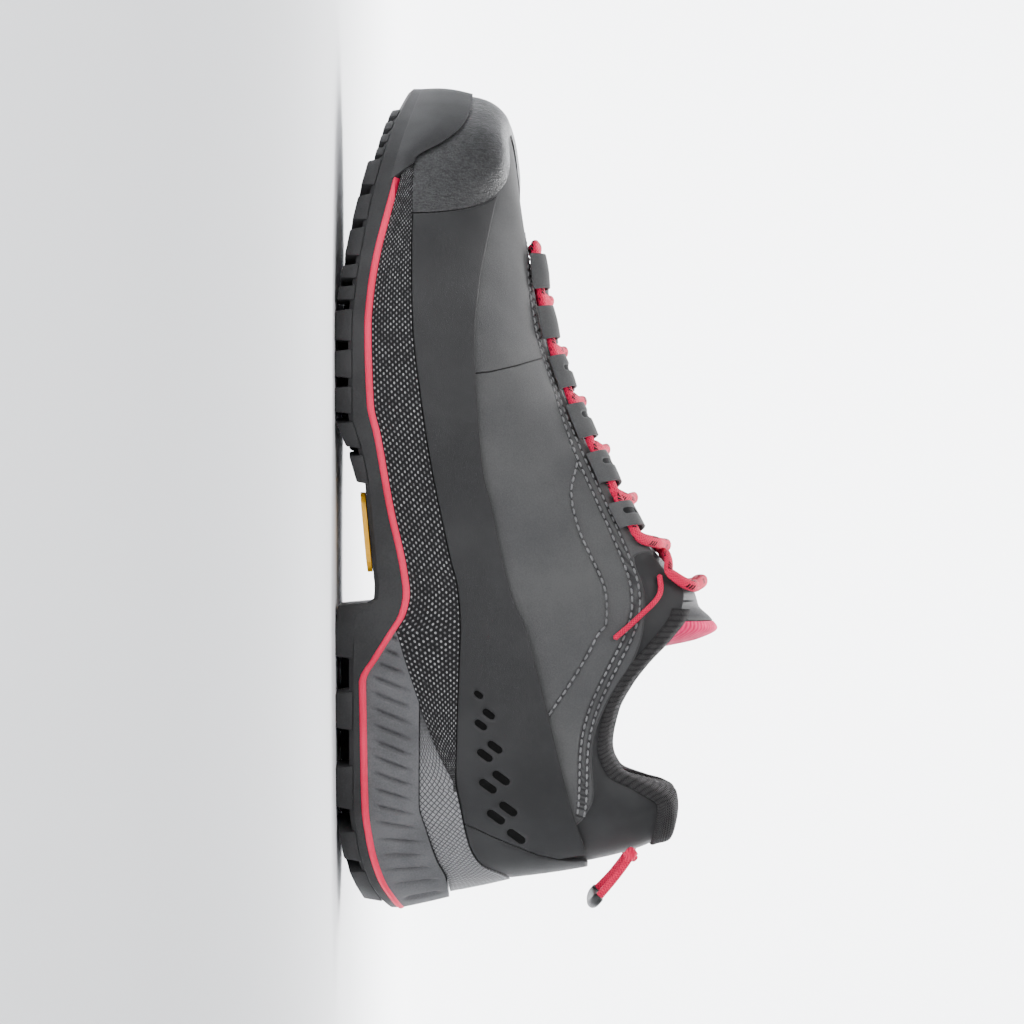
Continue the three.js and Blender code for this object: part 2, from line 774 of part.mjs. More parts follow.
const COUNTER_EDGE = table('s z', [
  [0.12, 0],
  [0.109, 0.36],
  [0.09, 0.452],
  [0.069, 0.567],
  [0.061, 0.64],
  [0.061, 0.713],
  [-0.1, 0.72],
  [-0.1, 0],
]);
const upperPrism = (rows, grow = 0) =>
  sidePrism(rows.map((row) => [row.s + (row.s > 0 ? grow / LENGTH : 0), row.z * COLLAR_HEIGHT]));

// Everything below the rim of the cup.
const overRim = (a) => rimZ(unturn(ringShare(a).b)) + GAP;
const underRim = ringSolid([
  (a) => outlineAt(a, -BULGE),
  (a) => outlineAt(a, -BULGE).setZ(overRim(a)),
  (a) => formAt(a, climbTo(a, overRim(a)), -WALL).setZ(overRim(a)),
]);

function makeToeCap() {
  const shell = formShell(0.34, 0.66, WALL_ROWS - 1, CAP_THICKNESS);
  return shell.intersect(capRegion(0)).subtract(underRim);
}
function makeRand(side) {
  const ends = [ringAt(0.03, side), ringAt(0.9, side)].sort((a, b) => a - b);
  const shell = formShell(...ends, WALL_ROWS - 3, RAND_THICKNESS);
  const band = shell.intersect(upperPrism(RAND_TOP)).subtract(underRim).subtract(capRegion(GAP));
  return band.subtract(upperPrism(COUNTER_EDGE, GAP));
}
function makeCounter() {
  const shell = formShell(-0.14, 0.14, WALL_ROWS - 2, COUNTER_THICKNESS);
  return shell.intersect(upperPrism(COUNTER_EDGE)).subtract(underRim);
}
add('toe_cap', makeToeCap(), MATERIALS.rubber);
add('rand_lateral', makeRand('lateral'), MATERIALS.leather);
add('rand_medial', makeRand('medial'), MATERIALS.leather);
add('heel_counter', makeCounter(), MATERIALS.leather);

// The insole lies in the upper on the floor of the cup.
function makeInsole() {
  const clear = -(WALL + 2 * GAP);
  const foot = (a) => formAt(a, 0, clear).setZ(featherPoint(a).z);
  const face = (a) => {
    const z = featherPoint(a).z + INSOLE_THICKNESS;
    return formAt(a, climbTo(a, z), clear).setZ(z);
  };
  return ringSolid([foot, face]);
}
add('insole', makeInsole(), MATERIALS.insole);

// The padded collar: outside down the inner wall, over the top edge, and inside round the padding.
const paddingAt = (s) => {
  const back = lerp(HEEL_PADDING, COLLAR_PADDING, smoothstep(s, 0.1, 0.2));
  return lerp(back, FRONT_PADDING, smoothstep(s, 0.27, COLLAR_FRONT));
};
function inwardAt(a) {
  const edge = topPoint(a);
  const s = shareOf(edge.x);
  const middle = (topOf.lateral(s) + topOf.medial(s)) / 2;
  const spine = Math.max(s, SPINE_BACK);
  return point(xOf(spine), middle * halfWidth(spine), edge.z).sub(edge).normalize();
}
function collarLoop(a) {
  const edge = topPoint(a);
  const s = shareOf(edge.x);
  const inward = inwardAt(a);
  const padding = paddingAt(s);
  const roll = lerp(HEEL_ROLL, SIDE_ROLL, smoothstep(s, 0.1, 0.17));
  const wall = (depth) => formAt(a, depthTo(a, depth), -WALL - 2 * GAP);
  const place = (in_, up) => edge.clone().addScaledVector(inward, in_).add(point(0, 0, up));
  const pad = (depth, share) => wall(depth).addScaledVector(inward, padding * share);
  const inner = WALL + 2 * GAP;
  return [
    wall(COLLAR_DEPTH),
    wall(COLLAR_DEPTH * 0.5),
    wall(2 * WALL),
    wall(1).add(point(0, 0, 1 + GAP)).lerp(place(inner, GAP), 0.7),
    place(0.2, 2 * GAP),
    place(0.2, roll),
    place(inner + padding * 0.35, roll + 1.4),
    place(inner + padding * 0.8, roll * 0.7),
    place(inner + padding, -1.5),
    pad(2 * WALL + 3, 1.02),
    pad(COLLAR_DEPTH * 0.5, 0.85),
    pad(COLLAR_DEPTH, 0.25),
  ];
}
function makeCollar() {
  const front = topTurn(COLLAR_FRONT) / 2;
  return solidOf(loft(columnsBetween(-front, front).map((a) => collarLoop(a < 0 ? 1 + a : a))));
}
add('collar', makeCollar(), MATERIALS.knit);

// The tongue. rise is its middle above the top edge and lift its sides, as shares of the crown; flap is how
// far it runs on under the upper, as a share of its overlap.
const TONGUE = table('s rise lift flap', [
  [0.314, 0.5, -0.15, 0.25],
  [0.325, 1.25, 0.3, 0.25],
  [0.337, 1.5, 0.5, 0.25],
  [0.352, 1.1, 0.3, 0.35],
  [0.37, 0.65, 0, 0.5],
  [0.39, 0.45, 0, 0.8],
  [0.42, 0.4, 0, 1],
  [0.5, 0.35, 0, 1],
  [0.7, 0.25, 0, 1],
  [0.79, 0.05, 0, 0.7],
]);
const tongueOf = Object.fromEntries(['rise', 'lift', 'flap'].map((name) => [name, curve(TONGUE, name)]));

const insideCollar = (s) => (s < COLLAR_FRONT + 0.01 ? paddingAt(s) + 6 * GAP : 0);

// A place on the tongue's upper face: u runs from -1 at its lateral rim to 1 at its medial rim.
function tonguePoint(s, u) {
  const rim = (side) => {
    const a = topRingAt(s, side);
    const under = formAt(a, 1, -WALL - 2 * GAP).addScaledVector(inwardAt(a), insideCollar(s));
    return under.add(point(0, 0, CROWN * tongueOf.lift(s)));
  };
  const place = rim('lateral').lerp(rim('medial'), (u + 1) / 2);
  return place.add(point(0, 0, (CROWN * tongueOf.rise(s) + WALL * 0.6) * (1 - u * u)));
}
function tongueLoop(s) {
  const flap = (side, share) => {
    const a = topRingAt(s, side);
    const depth = TONGUE_OVERLAP * tongueOf.flap(s) * share;
    const place = formAt(a, depthTo(a, depth + WALL), -WALL - 2 * GAP);
    return place.addScaledVector(inwardAt(a), insideCollar(s)).add(point(0, 0, CROWN * tongueOf.lift(s)));
  };
  const rims = steps(6, -1, 1).map((u) => tonguePoint(s, u));
  const face = [flap('lateral', 1), ...rims, flap('medial', 1)];
  const middle = tonguePoint(s, 0).sub(point(0, 0, COLLAR_PADDING * 4));
  const back = face.toReversed().map((place, i) => {
    const thin = i === 0 || i === face.length - 1 ? 0.5 : 1;
    const way = middle.clone().sub(place).setX(0).normalize();
    return place.clone().addScaledVector(way, TONGUE_THICKNESS * thin);
  });
  return [...face, ...back];
}
const tongueBody = (from, to, count) => solidOf(loft(steps(count, from, to).map(tongueLoop)));
const [TONGUE_END, TONGUE_FRONT] = [TONGUE[0].s, TONGUE[TONGUE.length - 1].s];
add('tongue', tongueBody(BINDING_START, TONGUE_FRONT, 14), MATERIALS.mesh);
add('tongue_binding', tongueBody(TONGUE_END, BINDING_START - GAP / LENGTH, 4), MATERIALS.binding);

// The lace loops along the throat, numbered from the toe. s is each loop's rear end.
const LOOPS = table('s end', [
  [0.746, 0.787],
  [0.685, 0.725],
  [0.623, 0.663],
  [0.564, 0.603],
  [0.507, 0.545],
  [0.456, 0.484],
]);
function makeLoop({ s, end }, side) {
  return solidOf(loft(steps(2, s, end).map((share) => {
    const arch = (height) => (v) => {
      const depth = lerp(LOOP_WIDTH + LOOP_EDGE, LOOP_EDGE, v);
      return nearEdge(share, side, depth, GAP + height + LOOP_RISE * Math.sin(Math.PI * v) ** 0.6);
    };
    const across = steps(LOOP_STEPS);
    return [...across.map(arch(LOOP_STRAP)), ...across.toReversed().map(arch(0))];
  })));
}
const SIDES = ['lateral', 'medial'];
LOOPS.forEach((loop, i) => {
  SIDES.forEach((side) => add(`lace_loop_${side}_${i + 1}`, makeLoop(loop, side), MATERIALS.nubuck));
});

// A round cord along a smooth path through its points.
function cordBody(points, diameter, stepLength, sides = 8) {
  const path = new THREE.CatmullRomCurve3(points, false, 'centripetal');
  const section = new THREE.Shape(ringColumns(sides).map((share) => {
    const angle = 2 * Math.PI * share;
    return new THREE.Vector2(Math.cos(angle), Math.sin(angle)).multiplyScalar(diameter / 2);
  }));
  const count = Math.ceil(path.getLength() / stepLength);
  const options = { steps: count, extrudePath: path, bevelEnabled: false };
  return solidOf(new THREE.ExtrudeGeometry(section, options));
}

// The lace: two halves from the middle of the front bar, each through loops of one side and the other in turn.
const LACE_OFFSET = LACE_DIAMETER / 2 + 2 * GAP;
const other = (side) => (side === 'lateral' ? 'medial' : 'lateral');
const inLoop = (s, side) => nearEdge(s, side, LOOP_EDGE + LOOP_WIDTH / 2, GAP + LACE_OFFSET);
function overTongue(s, u, lift) {
  const slope = tonguePoint(s + 0.01, 0).sub(tonguePoint(s - 0.01, 0));
  const upright = point(-slope.z, 0, slope.x).normalize();
  return tonguePoint(s, u).addScaledVector(upright, LACE_OFFSET + lift);
}
const overEdge = (s, side, lift) => {
  const edge = topPoint(topRingAt(s, side));
  return edge.add(point(0, 0, LACE_OFFSET + 5 * GAP + lift));
};
function laceHalf(start, lift) {
  const sign = (side) => (side === 'lateral' ? -1 : 1);
  const across = (s, end, from) => [
    overEdge(s, from, 0),
    overTongue(lerp(s, end, 0.3), 0.45 * sign(from), lift * 0.7),
    overTongue(lerp(s, end, 0.5), 0, lift),
    overTongue(lerp(s, end, 0.7), -0.45 * sign(from), lift * 0.7),
    overEdge(end, other(from), 0),
  ];
  const points = [
    overTongue(ROW_START, -0.1 * sign(start), LACE_DIAMETER * 0.3),
    overTongue(ROW_START, 0.5 * sign(start), LACE_DIAMETER * 0.3),
    overEdge(ROW_START, start, 0),
  ];
  let side = start;
  LOOPS.forEach(({ s, end }, i) => {
    points.push(...[end + 0.01, end - 0.004, s + 0.004, s - 0.01].map((share) => inLoop(share, side)));
    const next = i + 1 < LOOPS.length ? LOOPS[i + 1].end : TOP_HOOK + 0.012;
    points.push(...across(s - 0.011, next + 0.011, side));
    side = other(side);
  });
  const hook = (s, depth) => nearEdge(s, side, depth, LACE_OFFSET + GAP);
  points.push(hook(TOP_HOOK + 0.01, 0.5), hook(TOP_HOOK, HOOK_DEPTH), hook(TOP_HOOK - 0.012, 0.5));
  points.push(...across(TOP_HOOK - 0.012, LACE_END, side).slice(0, -1));
  points.push(overTongue(LACE_END, -0.72 * sign(side), lift * 0.4));
  return cordBody(points, LACE_DIAMETER, LACE_STEP, LACE_SIDES);
}
add('lace', laceHalf('lateral', 0).add(laceHalf('medial', LACE_DIAMETER * 0.72)), MATERIALS.lace);

// The thin cords that hold the top of the lace, and the pull loop at the heel.
function eyeletCord(side) {
  const at = (s, depth) => {
    const a = topRingAt(s, side);
    return formAt(a, depthTo(a, depth), EYELET_DIAMETER / 2 + 2 * GAP);
  };
  const path = [at(TOP_HOOK - 0.004, HOOK_DEPTH + 4), at(0.38, 9), at(0.352, 14), at(0.328, 17)];
  return cordBody(path, EYELET_DIAMETER, 6);
}
SIDES.forEach((side) => add(`eyelet_cord_${side}`, eyeletCord(side), MATERIALS.lace));

// The pull loop's cord on each side: share of the length, of the half width and of the collar height.
const PULL_LOOP = {
  lateral: [[0.083, 0.27, 0.8435], [0.068, 0.26, 0.8217], [0.048, 0.24, 0.787], [0.03, 0.2, 0.7522]],
  medial: [[0.083, -0.36, 0.8435], [0.068, -0.4, 0.8217], [0.048, -0.48, 0.787], [0.032, -0.52, 0.7522]],
};
const pullPoint = ([s, y, z]) => point(xOf(s) - PULL_CLEAR, y * halfWidth(s), z * COLLAR_HEIGHT);
function pullCord(side) {
  const points = PULL_LOOP[side].map(pullPoint);
  const knotPlace = points[0].clone().lerp(points[1], 0.4);
  const knot = new THREE.SphereGeometry(KNOT_RADIUS, 6, 4).translate(...knotPlace);
  return cordBody(points, PULL_DIAMETER, 7).add(solidOf(knot));
}
SIDES.forEach((side) => add(`pull_loop_${side}`, pullCord(side), MATERIALS.lace));
function pullSleeve() {
  const [start, end] = SIDES.map((side) => {
    const [before, last] = PULL_LOOP[side].slice(2).map(pullPoint);
    const way = last.clone().sub(before).normalize();
    return [last.clone().addScaledVector(way, 2 * GAP), last.clone().addScaledVector(way, 3)];
  });
  const bow = start[1].clone().lerp(end[1], 0.5).add(point(-PULL_BOW, 0, -1));
  return cordBody([...start, bow, ...end.toReversed()], SLEEVE_DIAMETER, 4.5);
}
add('pull_loop_sleeve', pullSleeve(), MATERIALS.leather);

export default shoe;
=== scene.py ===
# %% [markdown]
# # An approach shoe, left foot
#
# An approach shoe walks to the foot of a climb and up its first easy rocks, so it mixes a low boot with a
# climbing shoe: a hollow nubuck upper on a rubber-edged sole. Every piece of it follows one form, the last
# that the shoe is built round. So this lesson first repeats that form as a few functions, and then lays each
# piece on it as a sheet: a grid is added, its vertices are placed on the form, and modifiers give it its
# thickness and rounded edges.

import math
from contextlib import contextmanager

import bmesh
import bpy
import numpy as np
from mathutils import Matrix, Vector
from mathutils.bvhtree import BVHTree


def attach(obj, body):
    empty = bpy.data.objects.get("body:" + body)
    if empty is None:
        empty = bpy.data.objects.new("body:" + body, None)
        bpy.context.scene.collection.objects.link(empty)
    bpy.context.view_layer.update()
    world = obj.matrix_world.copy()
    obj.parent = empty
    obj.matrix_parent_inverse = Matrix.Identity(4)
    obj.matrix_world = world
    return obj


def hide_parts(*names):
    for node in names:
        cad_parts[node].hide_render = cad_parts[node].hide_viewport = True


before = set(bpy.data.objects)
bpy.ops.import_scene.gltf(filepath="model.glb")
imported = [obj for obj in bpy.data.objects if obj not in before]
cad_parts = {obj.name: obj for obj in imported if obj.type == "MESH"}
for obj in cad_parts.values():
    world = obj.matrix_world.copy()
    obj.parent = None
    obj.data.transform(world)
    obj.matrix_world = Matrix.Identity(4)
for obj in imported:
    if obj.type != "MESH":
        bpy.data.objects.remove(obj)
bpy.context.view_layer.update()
MM = 0.001
GAP = 0.3
print("nodes in the frame:", len(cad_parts))

# %% [markdown]
# The photograph looks straight at the shoe's outer side and shows it toe up, so the camera stands far off to
# the side, level with the middle of the upper, and is rolled a quarter turn. A long lens keeps the view as
# flat as the photograph's. A real studio would use one big soft light from the front and a pale sweep of
# paper that curves up behind the shoe, and so does this one: the sweep is a plane with its far half bent up.

# %% Camera, paper sweep and soft lights
CAMERA_DISTANCE = 1.7
CAMERA_HEIGHT = 0.057
CAMERA_X = 0.095
FRAME_WIDTH = 1024 / 823 * 0.272
eye = bpy.data.cameras.new("camera")
eye.sensor_width = 36
eye.lens = eye.sensor_width * CAMERA_DISTANCE / FRAME_WIDTH
camera = bpy.data.objects.new("camera", eye)
bpy.context.collection.objects.link(camera)
right, up, back = Vector((0, 0, 1)), Vector((1, 0, 0)), Vector((0, 1, 0))
camera.matrix_world = Matrix.Translation((CAMERA_X, CAMERA_DISTANCE, CAMERA_HEIGHT)) @ Matrix(
    (right, up, back)
).transposed().to_4x4()
bpy.context.scene.camera = camera


def deselect():
    bpy.ops.object.select_all(action="DESELECT")


deselect()
bpy.ops.mesh.primitive_grid_add(x_subdivisions=2, y_subdivisions=48, size=2)
paper = bpy.context.object
paper.name = "paper_sweep"
SWEEP_FRONT, SWEEP_BACK, SWEEP_RADIUS, SWEEP_HALF, SWEEP_SCALE = 1.5, 1.2, 0.5, 3, 2.5
SWEEP_FLAT = SWEEP_FRONT + SWEEP_BACK
for vertex in paper.data.vertices:
    run = (1 - vertex.co.y) * SWEEP_SCALE
    turned = min(max(run - SWEEP_FLAT, 0) / SWEEP_RADIUS, math.pi / 2)
    rise = max(run - SWEEP_FLAT - SWEEP_RADIUS * math.pi / 2, 0)
    y = SWEEP_FRONT - min(run, SWEEP_FLAT) - SWEEP_RADIUS * math.sin(turned)
    vertex.co = (vertex.co.x * SWEEP_HALF, y, SWEEP_RADIUS * (1 - math.cos(turned)) + rise)
bpy.ops.object.shade_smooth()


def area_light(name, place, aim, size, power):
    lamp = bpy.data.lights.new(name, "AREA")
    lamp.shape, lamp.size, lamp.energy = "DISK", size, power
    made = bpy.data.objects.new(name, lamp)
    bpy.context.collection.objects.link(made)
    made.location = place
    made.rotation_euler = (Vector(aim) - Vector(place)).to_track_quat("-Z", "Y").to_euler()
    return made


MIDDLE = (0.1, 0, 0.05)
area_light("light_front", (0.5, 1.4, 0.9), MIDDLE, 1.3, 21)
area_light("light_top", (0.15, 0.1, 1.5), MIDDLE, 1.2, 8)
area_light("light_back", (-0.7, -1.0, 0.9), MIDDLE, 1.0, 8)
area_light("light_paper", (0.1, -0.75, 1.4), (0.1, -1.7, 0.3), 1.2, 130)
world = bpy.data.worlds.new("studio") if not bpy.data.worlds else bpy.data.worlds[0]
bpy.context.scene.world = world
world.use_nodes = True
colour, strength = world.node_tree.nodes["Background"].inputs[:2]
colour.default_value, strength.default_value = (0.93, 0.95, 1.0, 1), 0.36

# %% [markdown]
# A shoe's form is a set of lines drawn round it: the outline of the sole, the edge where the upper enters the
# sole, and the top edge of the collar and the throat. Each line is a short table in shares of the shoe's own
# sizes. A curve through a table must not wiggle between its rows, so its slopes are the harmonic means of the
# neighbouring slopes. These are the rows and functions that the solids were made with, so that each piece
# here lands where its solid stands.

# %% Tables of the shoe's lines
LENGTH, HEEL_OVERHANG, BALL_WIDTH, HEEL_WIDTH = 272, 36, 100, 80
SOLE_HEIGHT, COLLAR_HEIGHT, CROWN, BULGE, WALL = 40, 115, 8, 8, 2.0


def table(columns, rows):
    """Rows of numbers as one array for each named column."""
    values = np.array(rows, float).T
    return dict(zip(columns.split(), values))


SOLE_OUTLINE = table("s lateral medial", [
    [0, -.075, -.075], [.012, .3, -.37], [.04, .56, -.605], [.075, .72, -.795], [.12, .865, -.935],
    [.18, .97, -1.005], [.26, 1.015, -.95], [.33, 1.005, -.845], [.41, .985, -.775],
    [.48, .968, -.775], [.55, .978, -.82], [.61, .99, -.885], [.67, 1.006, -.955],
    [.73, .99, -.974], [.79, .925, -.966], [.84, .81, -.948], [.88, .67, -.915], [.92, .52, -.85],
    [.95, .345, -.755], [.975, .12, -.64], [.992, -.075, -.47], [1, -.24, -.24],
])
UNDERSIDE = table("s tread plate", [
    [0, .38, .4], [.012, .22, .33], [.034, .14, .24], [.07, .05, .155], [.12, 0, .11], [.3, 0, .11],
    [.36, 0, .12], [.379, .04, .31], [.392, .3, .318], [.5, .2, .25], [.52, .17, .24],
    [.56, .09, .18], [.59, 0, .11], [.71, 0, .11], [.763, .05, .15], [.824, .13, .22],
    [.87, .2, .28], [.915, .28, .36], [.951, .38, .43], [1, .55, .57],
])
STRIPE_LINE = table("s z", [
    [0, .48], [.041, .325], [.083, .247], [.132, .206], [.23, .195], [.28, .19], [.31, .3],
    [.336, .41], [.362, .515], [.385, .545], [.411, .525], [.489, .412], [.571, .315], [.61, .258],
    [.7, .24], [.746, .265], [.788, .312], [.837, .392], [.9, .5], [1, .7],
])
RIM_LINE = table("s z", [
    [0, 1.41], [.012, 1.36], [.04, 1.17], [.075, 1.07], [.12, 1.01], [.165, .965], [.23, .975],
    [.295, .99], [.343, 1], [.392, .98], [.425, .925], [.489, .832], [.544, .76], [.61, .692],
    [.707, .62], [.772, .61], [.838, .615], [.903, .635], [.928, .86], [.951, 1.01], [.975, 1.08],
    [1, 1.1],
])
FEATHER = table("s inset z full crown lateral medial", [
    [0, 2.8, .725, 1.6, 0, 0, 0], [.05, 2, .725, 1.65, 0, 0, 0], [.12, 1.2, .72, 1.7, 0, 0, 0],
    [.2, .8, .71, 1.65, 0, 0, .1], [.3, .7, .7, 1.25, 0, 0, .35], [.38, .7, .66, 1.1, 0, 0, .75],
    [.47, .7, .6, 1.3, .1, 0, .85], [.6, .7, .46, 1.55, .6, .05, .65],
    [.68, .7, .4, 1.85, 1, .08, .45], [.77, .75, .41, 2.05, 1, .08, .35],
    [.86, .9, .48, 2.7, .8, .05, .2], [.93, 1, .6, 3.6, .5, 0, .1], [1, 1.2, .725, 4.6, .45, 0, 0],
])
TOP_EDGE = table("s lateral medial z", [
    [.085, -.083, -.083, .915], [.094, .21, -.385, .92], [.134, .3675, -.575, .93],
    [.155, .46, -.64, .865], [.174, .545, -.68, .785], [.205, .615, -.715, .758],
    [.243, .635, -.725, .775], [.272, .623, -.719, .81], [.298, .604, -.705, .856],
    [.33, .577, -.686, .926], [.36, .54, -.665, .975], [.385, .51, -.645, .985],
    [.42, .457, -.61, .92], [.463, .397, -.57, .845], [.487, .365, -.52, .81],
    [.539, .288, -.445, .74], [.59, .2475, -.404, .678], [.659, .192, -.378, .612],
    [.725, .158, -.392, .572], [.785, .122, -.406, .544], [.805, .09, -.38, .536],
    [.812, -.14, -.14, .534],
])
HEEL_SEAM = table("s z", [
    [.375, .2], [.355, .44], [.301, .57], [.262, .657], [.23, .73], [.197, .82], [.158, .95],
    [.14, 1.6], [-.1, 1.6], [-.1, .2],
])
WEDGE_TOP = table("s z", [
    [.5, .66], [.246, .675], [.132, .67], [.099, .725], [.057, .81], [.024, .89], [-.1, .95],
    [-.1, 0], [.5, 0],
])
LUGS = table("s end", [
    [.01, .05], [.062, .1], [.126, .18], [.222, .268], [.307, .374], [.514, .549], [.556, .588],
    [.597, .63], [.639, .674], [.683, .722], [.732, .75], [.758, .776], [.785, .821], [.829, .862],
    [.872, .906],
])
CAP_EDGE = table("y s", [
    [1.2, .826], [.95, .829], [.84, .834], [.7, .842], [.6, .85], [.53, .859], [.45, .872],
    [.33, .893], [.19, .915],
    [.05, .933], [-.09, .941], [-.23, .94], [-.31, .932], [-.44, .9], [-.55, .873], [-.65, .854],
    [-.8, .838], [-1.2, .832],
])
RAND_TOP = table("s z", [
    [.9, .47], [.805, .421], [.749, .398], [.691, .387], [.593, .398], [.528, .413], [.489, .436],
    [.424, .468], [.375, .5], [.35, .527], [.288, .567], [.236, .598], [.181, .629], [.132, .659],
    [.08, .7], [-.1, .72], [-.1, 0], [.9, 0],
])
COUNTER_EDGE = table("s z", [
    [.12, 0], [.109, .36], [.09, .452], [.069, .567], [.061, .64], [.061, .713], [-.1, .72],
    [-.1, 0],
])
TONGUE = table("s rise lift flap", [
    [.314, .5, -.15, .25], [.325, 1.25, .3, .25], [.337, 1.5, .5, .25], [.352, 1.1, .3, .35],
    [.37, .65, 0, .5], [.39, .45, 0, .8], [.42, .4, 0, 1], [.5, .35, 0, 1], [.7, .25, 0, 1],
    [.79, .05, 0, .7],
])
LOOPS = table("s end", [
    [.746, .787], [.685, .725], [.623, .663], [.564, .603], [.507, .545], [.456, .484],
])

# %% Smooth and straight lines through the tables
def smooth(rows, column, axis=lambda s: s):
    """A curve through one column, with no overshoot between its rows."""
    x, y = axis(rows["s"]), rows[column]
    secant = np.diff(y) / np.diff(x)
    product = secant[:-1] * secant[1:]
    total = np.where(product > 0, secant[:-1] + secant[1:], 1)
    inner = np.where(product > 0, 2 * product / total, 0)
    slope = np.concatenate([[secant[0]], inner, [secant[-1]]])

    def at(s):
        place = np.clip(axis(np.asarray(s, float)), x[0], x[-1])
        i = np.clip(np.searchsorted(x, place) - 1, 0, len(x) - 2)
        span = x[i + 1] - x[i]
        u = (place - x[i]) / span
        rise = y[i + 1] - y[i]
        start, end = slope[i] * span, slope[i + 1] * span
        return y[i] + u * (start + u * (3 * rise - 2 * start - end + u * (start + end - 2 * rise)))

    return at


def straight(rows, column):
    return lambda s: np.interp(s, rows["s"], rows[column])


def turn(share):
    return np.arccos(1 - 2 * np.clip(share, 0, 1)) / np.pi


def unturn(b):
    return (1 - np.cos(np.pi * b)) / 2


def ease(x, low, high):
    u = np.clip((x - low) / (high - low), 0, 1)
    return u * u * (3 - 2 * u)


def mix(a, b, u):
    return a + (b - a) * u


# %% [markdown]
# A place round the shoe is one number: 0 at the back of the heel, then along the outer side to a half at the
# toe, and back along the inner side to 1. A second number climbs the wall, from the edge in the sole to the
# top edge. With these two, the wall between them is a superellipse: round over the toe, nearly straight at
# the heel. All functions take whole arrays, so a sheet of ten thousand points is placed at once.

# %% The last: every point of the upper's surface
def x_of(s):
    return s * LENGTH - HEEL_OVERHANG


def share_of(x):
    return (x + HEEL_OVERHANG) / LENGTH


def half_width(s):
    return mix(HEEL_WIDTH, BALL_WIDTH, np.clip((s - 0.25) / 0.35, 0, 1)) / 2


def ring(a):
    """Whether each place is on the outer side, and its turned share of the length."""
    w = a - np.floor(a)
    return w < 0.5, np.where(w < 0.5, 2 * w, 2 * (1 - w))


def ring_at(s, outer):
    return turn(s) / 2 if outer else 1 - turn(s) / 2


SIDES = {"lateral": True, "medial": False}
sole_side = {side: smooth(SOLE_OUTLINE, side, turn) for side in SIDES}
stripe_share, rim_share = smooth(STRIPE_LINE, "z"), smooth(RIM_LINE, "z")
tread_share, plate_share = straight(UNDERSIDE, "tread"), straight(UNDERSIDE, "plate")
feather_of = {name: smooth(FEATHER, name) for name in ("inset", "z", "full", "crown", "lateral", "medial")}
TOP_START, TOP_SPAN = TOP_EDGE["s"][0], TOP_EDGE["s"][-1] - TOP_EDGE["s"][0]
FEATHER_INSET = 3.5


def top_turn(s):
    return turn((s - TOP_START) / TOP_SPAN)


top_of = {name: smooth(TOP_EDGE, name, top_turn) for name in ("lateral", "medial", "z")}


def stack(x, y, z):
    return np.stack(np.broadcast_arrays(x, y, z), axis=-1).astype(float)


def unit(v):
    return v / np.maximum(np.linalg.norm(v, axis=-1, keepdims=True), 1e-9)


def length_share(a):
    return unturn(ring(a)[1])


def outline_point(a):
    outer, b = ring(a)
    s = unturn(b)
    side = np.where(outer, sole_side["lateral"](s), sole_side["medial"](s))
    return stack(x_of(s), side * half_width(s), 0)


def outward_of(a):
    along = unit(outline_point(a + 0.002) - outline_point(a - 0.002))
    return stack(-along[..., 1], along[..., 0], 0)


def outline_at(a, inset=0.0):
    return outline_point(a) - outward_of(a) * np.asarray(inset)[..., None]


def feather_point(a):
    s = length_share(a)
    place = outline_at(a, FEATHER_INSET * feather_of["inset"](s))
    place[..., 2] = SOLE_HEIGHT * feather_of["z"](s)
    return place


def top_point(a):
    outer, b = ring(a)
    s = TOP_START + TOP_SPAN * unturn(b)
    side = np.where(outer, top_of["lateral"](s), top_of["medial"](s))
    return stack(x_of(s), side * half_width(s), COLLAR_HEIGHT * top_of["z"](s))


def form(a, t):
    """The upper's own surface."""
    a, t = np.broadcast_arrays(np.asarray(a, float), np.asarray(t, float))
    outer, b = ring(a)
    s = unturn(b)
    foot, top = feather_point(a), top_point(a)
    power, crown = 2 / feather_of["full"](s), CROWN * feather_of["crown"](s)
    bulge = BULGE * np.where(outer, feather_of["lateral"](s), feather_of["medial"](s))
    angle = np.clip(t, 0, 1) * np.pi / 2
    inward = 1 - np.maximum(np.cos(angle), 0) ** power
    upward = np.sin(angle) ** power
    swell = bulge * np.sin(np.pi * np.minimum(1, upward * 1.15))
    place = mix(foot, top, inward[..., None]) + outward_of(a) * swell[..., None]
    place[..., 2] = foot[..., 2] + (top[..., 2] - crown - foot[..., 2]) * upward + crown * inward**2
    return place


def form_normal(a, t):
    step = 0.004
    low = np.clip(t, 0.02, 0.98 - step)
    round_ = form(a + step, low) - form(a - step, low)
    climb = form(a, low + step) - form(a, low - step)
    return unit(np.cross(climb, round_))


def form_at(a, t, offset=0.0):
    return form(a, t) + form_normal(a, t) * np.asarray(offset)[..., None]


def search(test, shape, steps=22):
    """The place between 0 and 1 where test stops being true, for each of many at once."""
    low, high = np.zeros(shape), np.ones(shape)
    for _ in range(steps):
        middle = (low + high) / 2
        below = test(middle)
        low, high = np.where(below, middle, low), np.where(below, high, middle)
    return low


def climb_to(a, z):
    """Where the form passes a height, going up its wall."""
    a, z = np.broadcast_arrays(np.asarray(a, float), np.asarray(z, float))
    return search(lambda t: form(a, t)[..., 2] < z, a.shape)


def depth_to(a, depth):
    """The place that lies this far down from the top edge."""
    a, depth = np.broadcast_arrays(np.asarray(a, float), np.asarray(depth, float))
    edge = form(a, np.ones(a.shape))
    return search(lambda t: np.linalg.norm(form(a, t) - edge, axis=-1) > depth, a.shape)


def top_ring_at(s, outer):
    return top_turn(s) / 2 if outer else 1 - top_turn(s) / 2


check = form(np.array([0.0, 0.25, 0.5, 0.75]), 0.5)
print("the form at heel, outer side, toe and inner side, in mm:", np.round(check, 1).tolist())

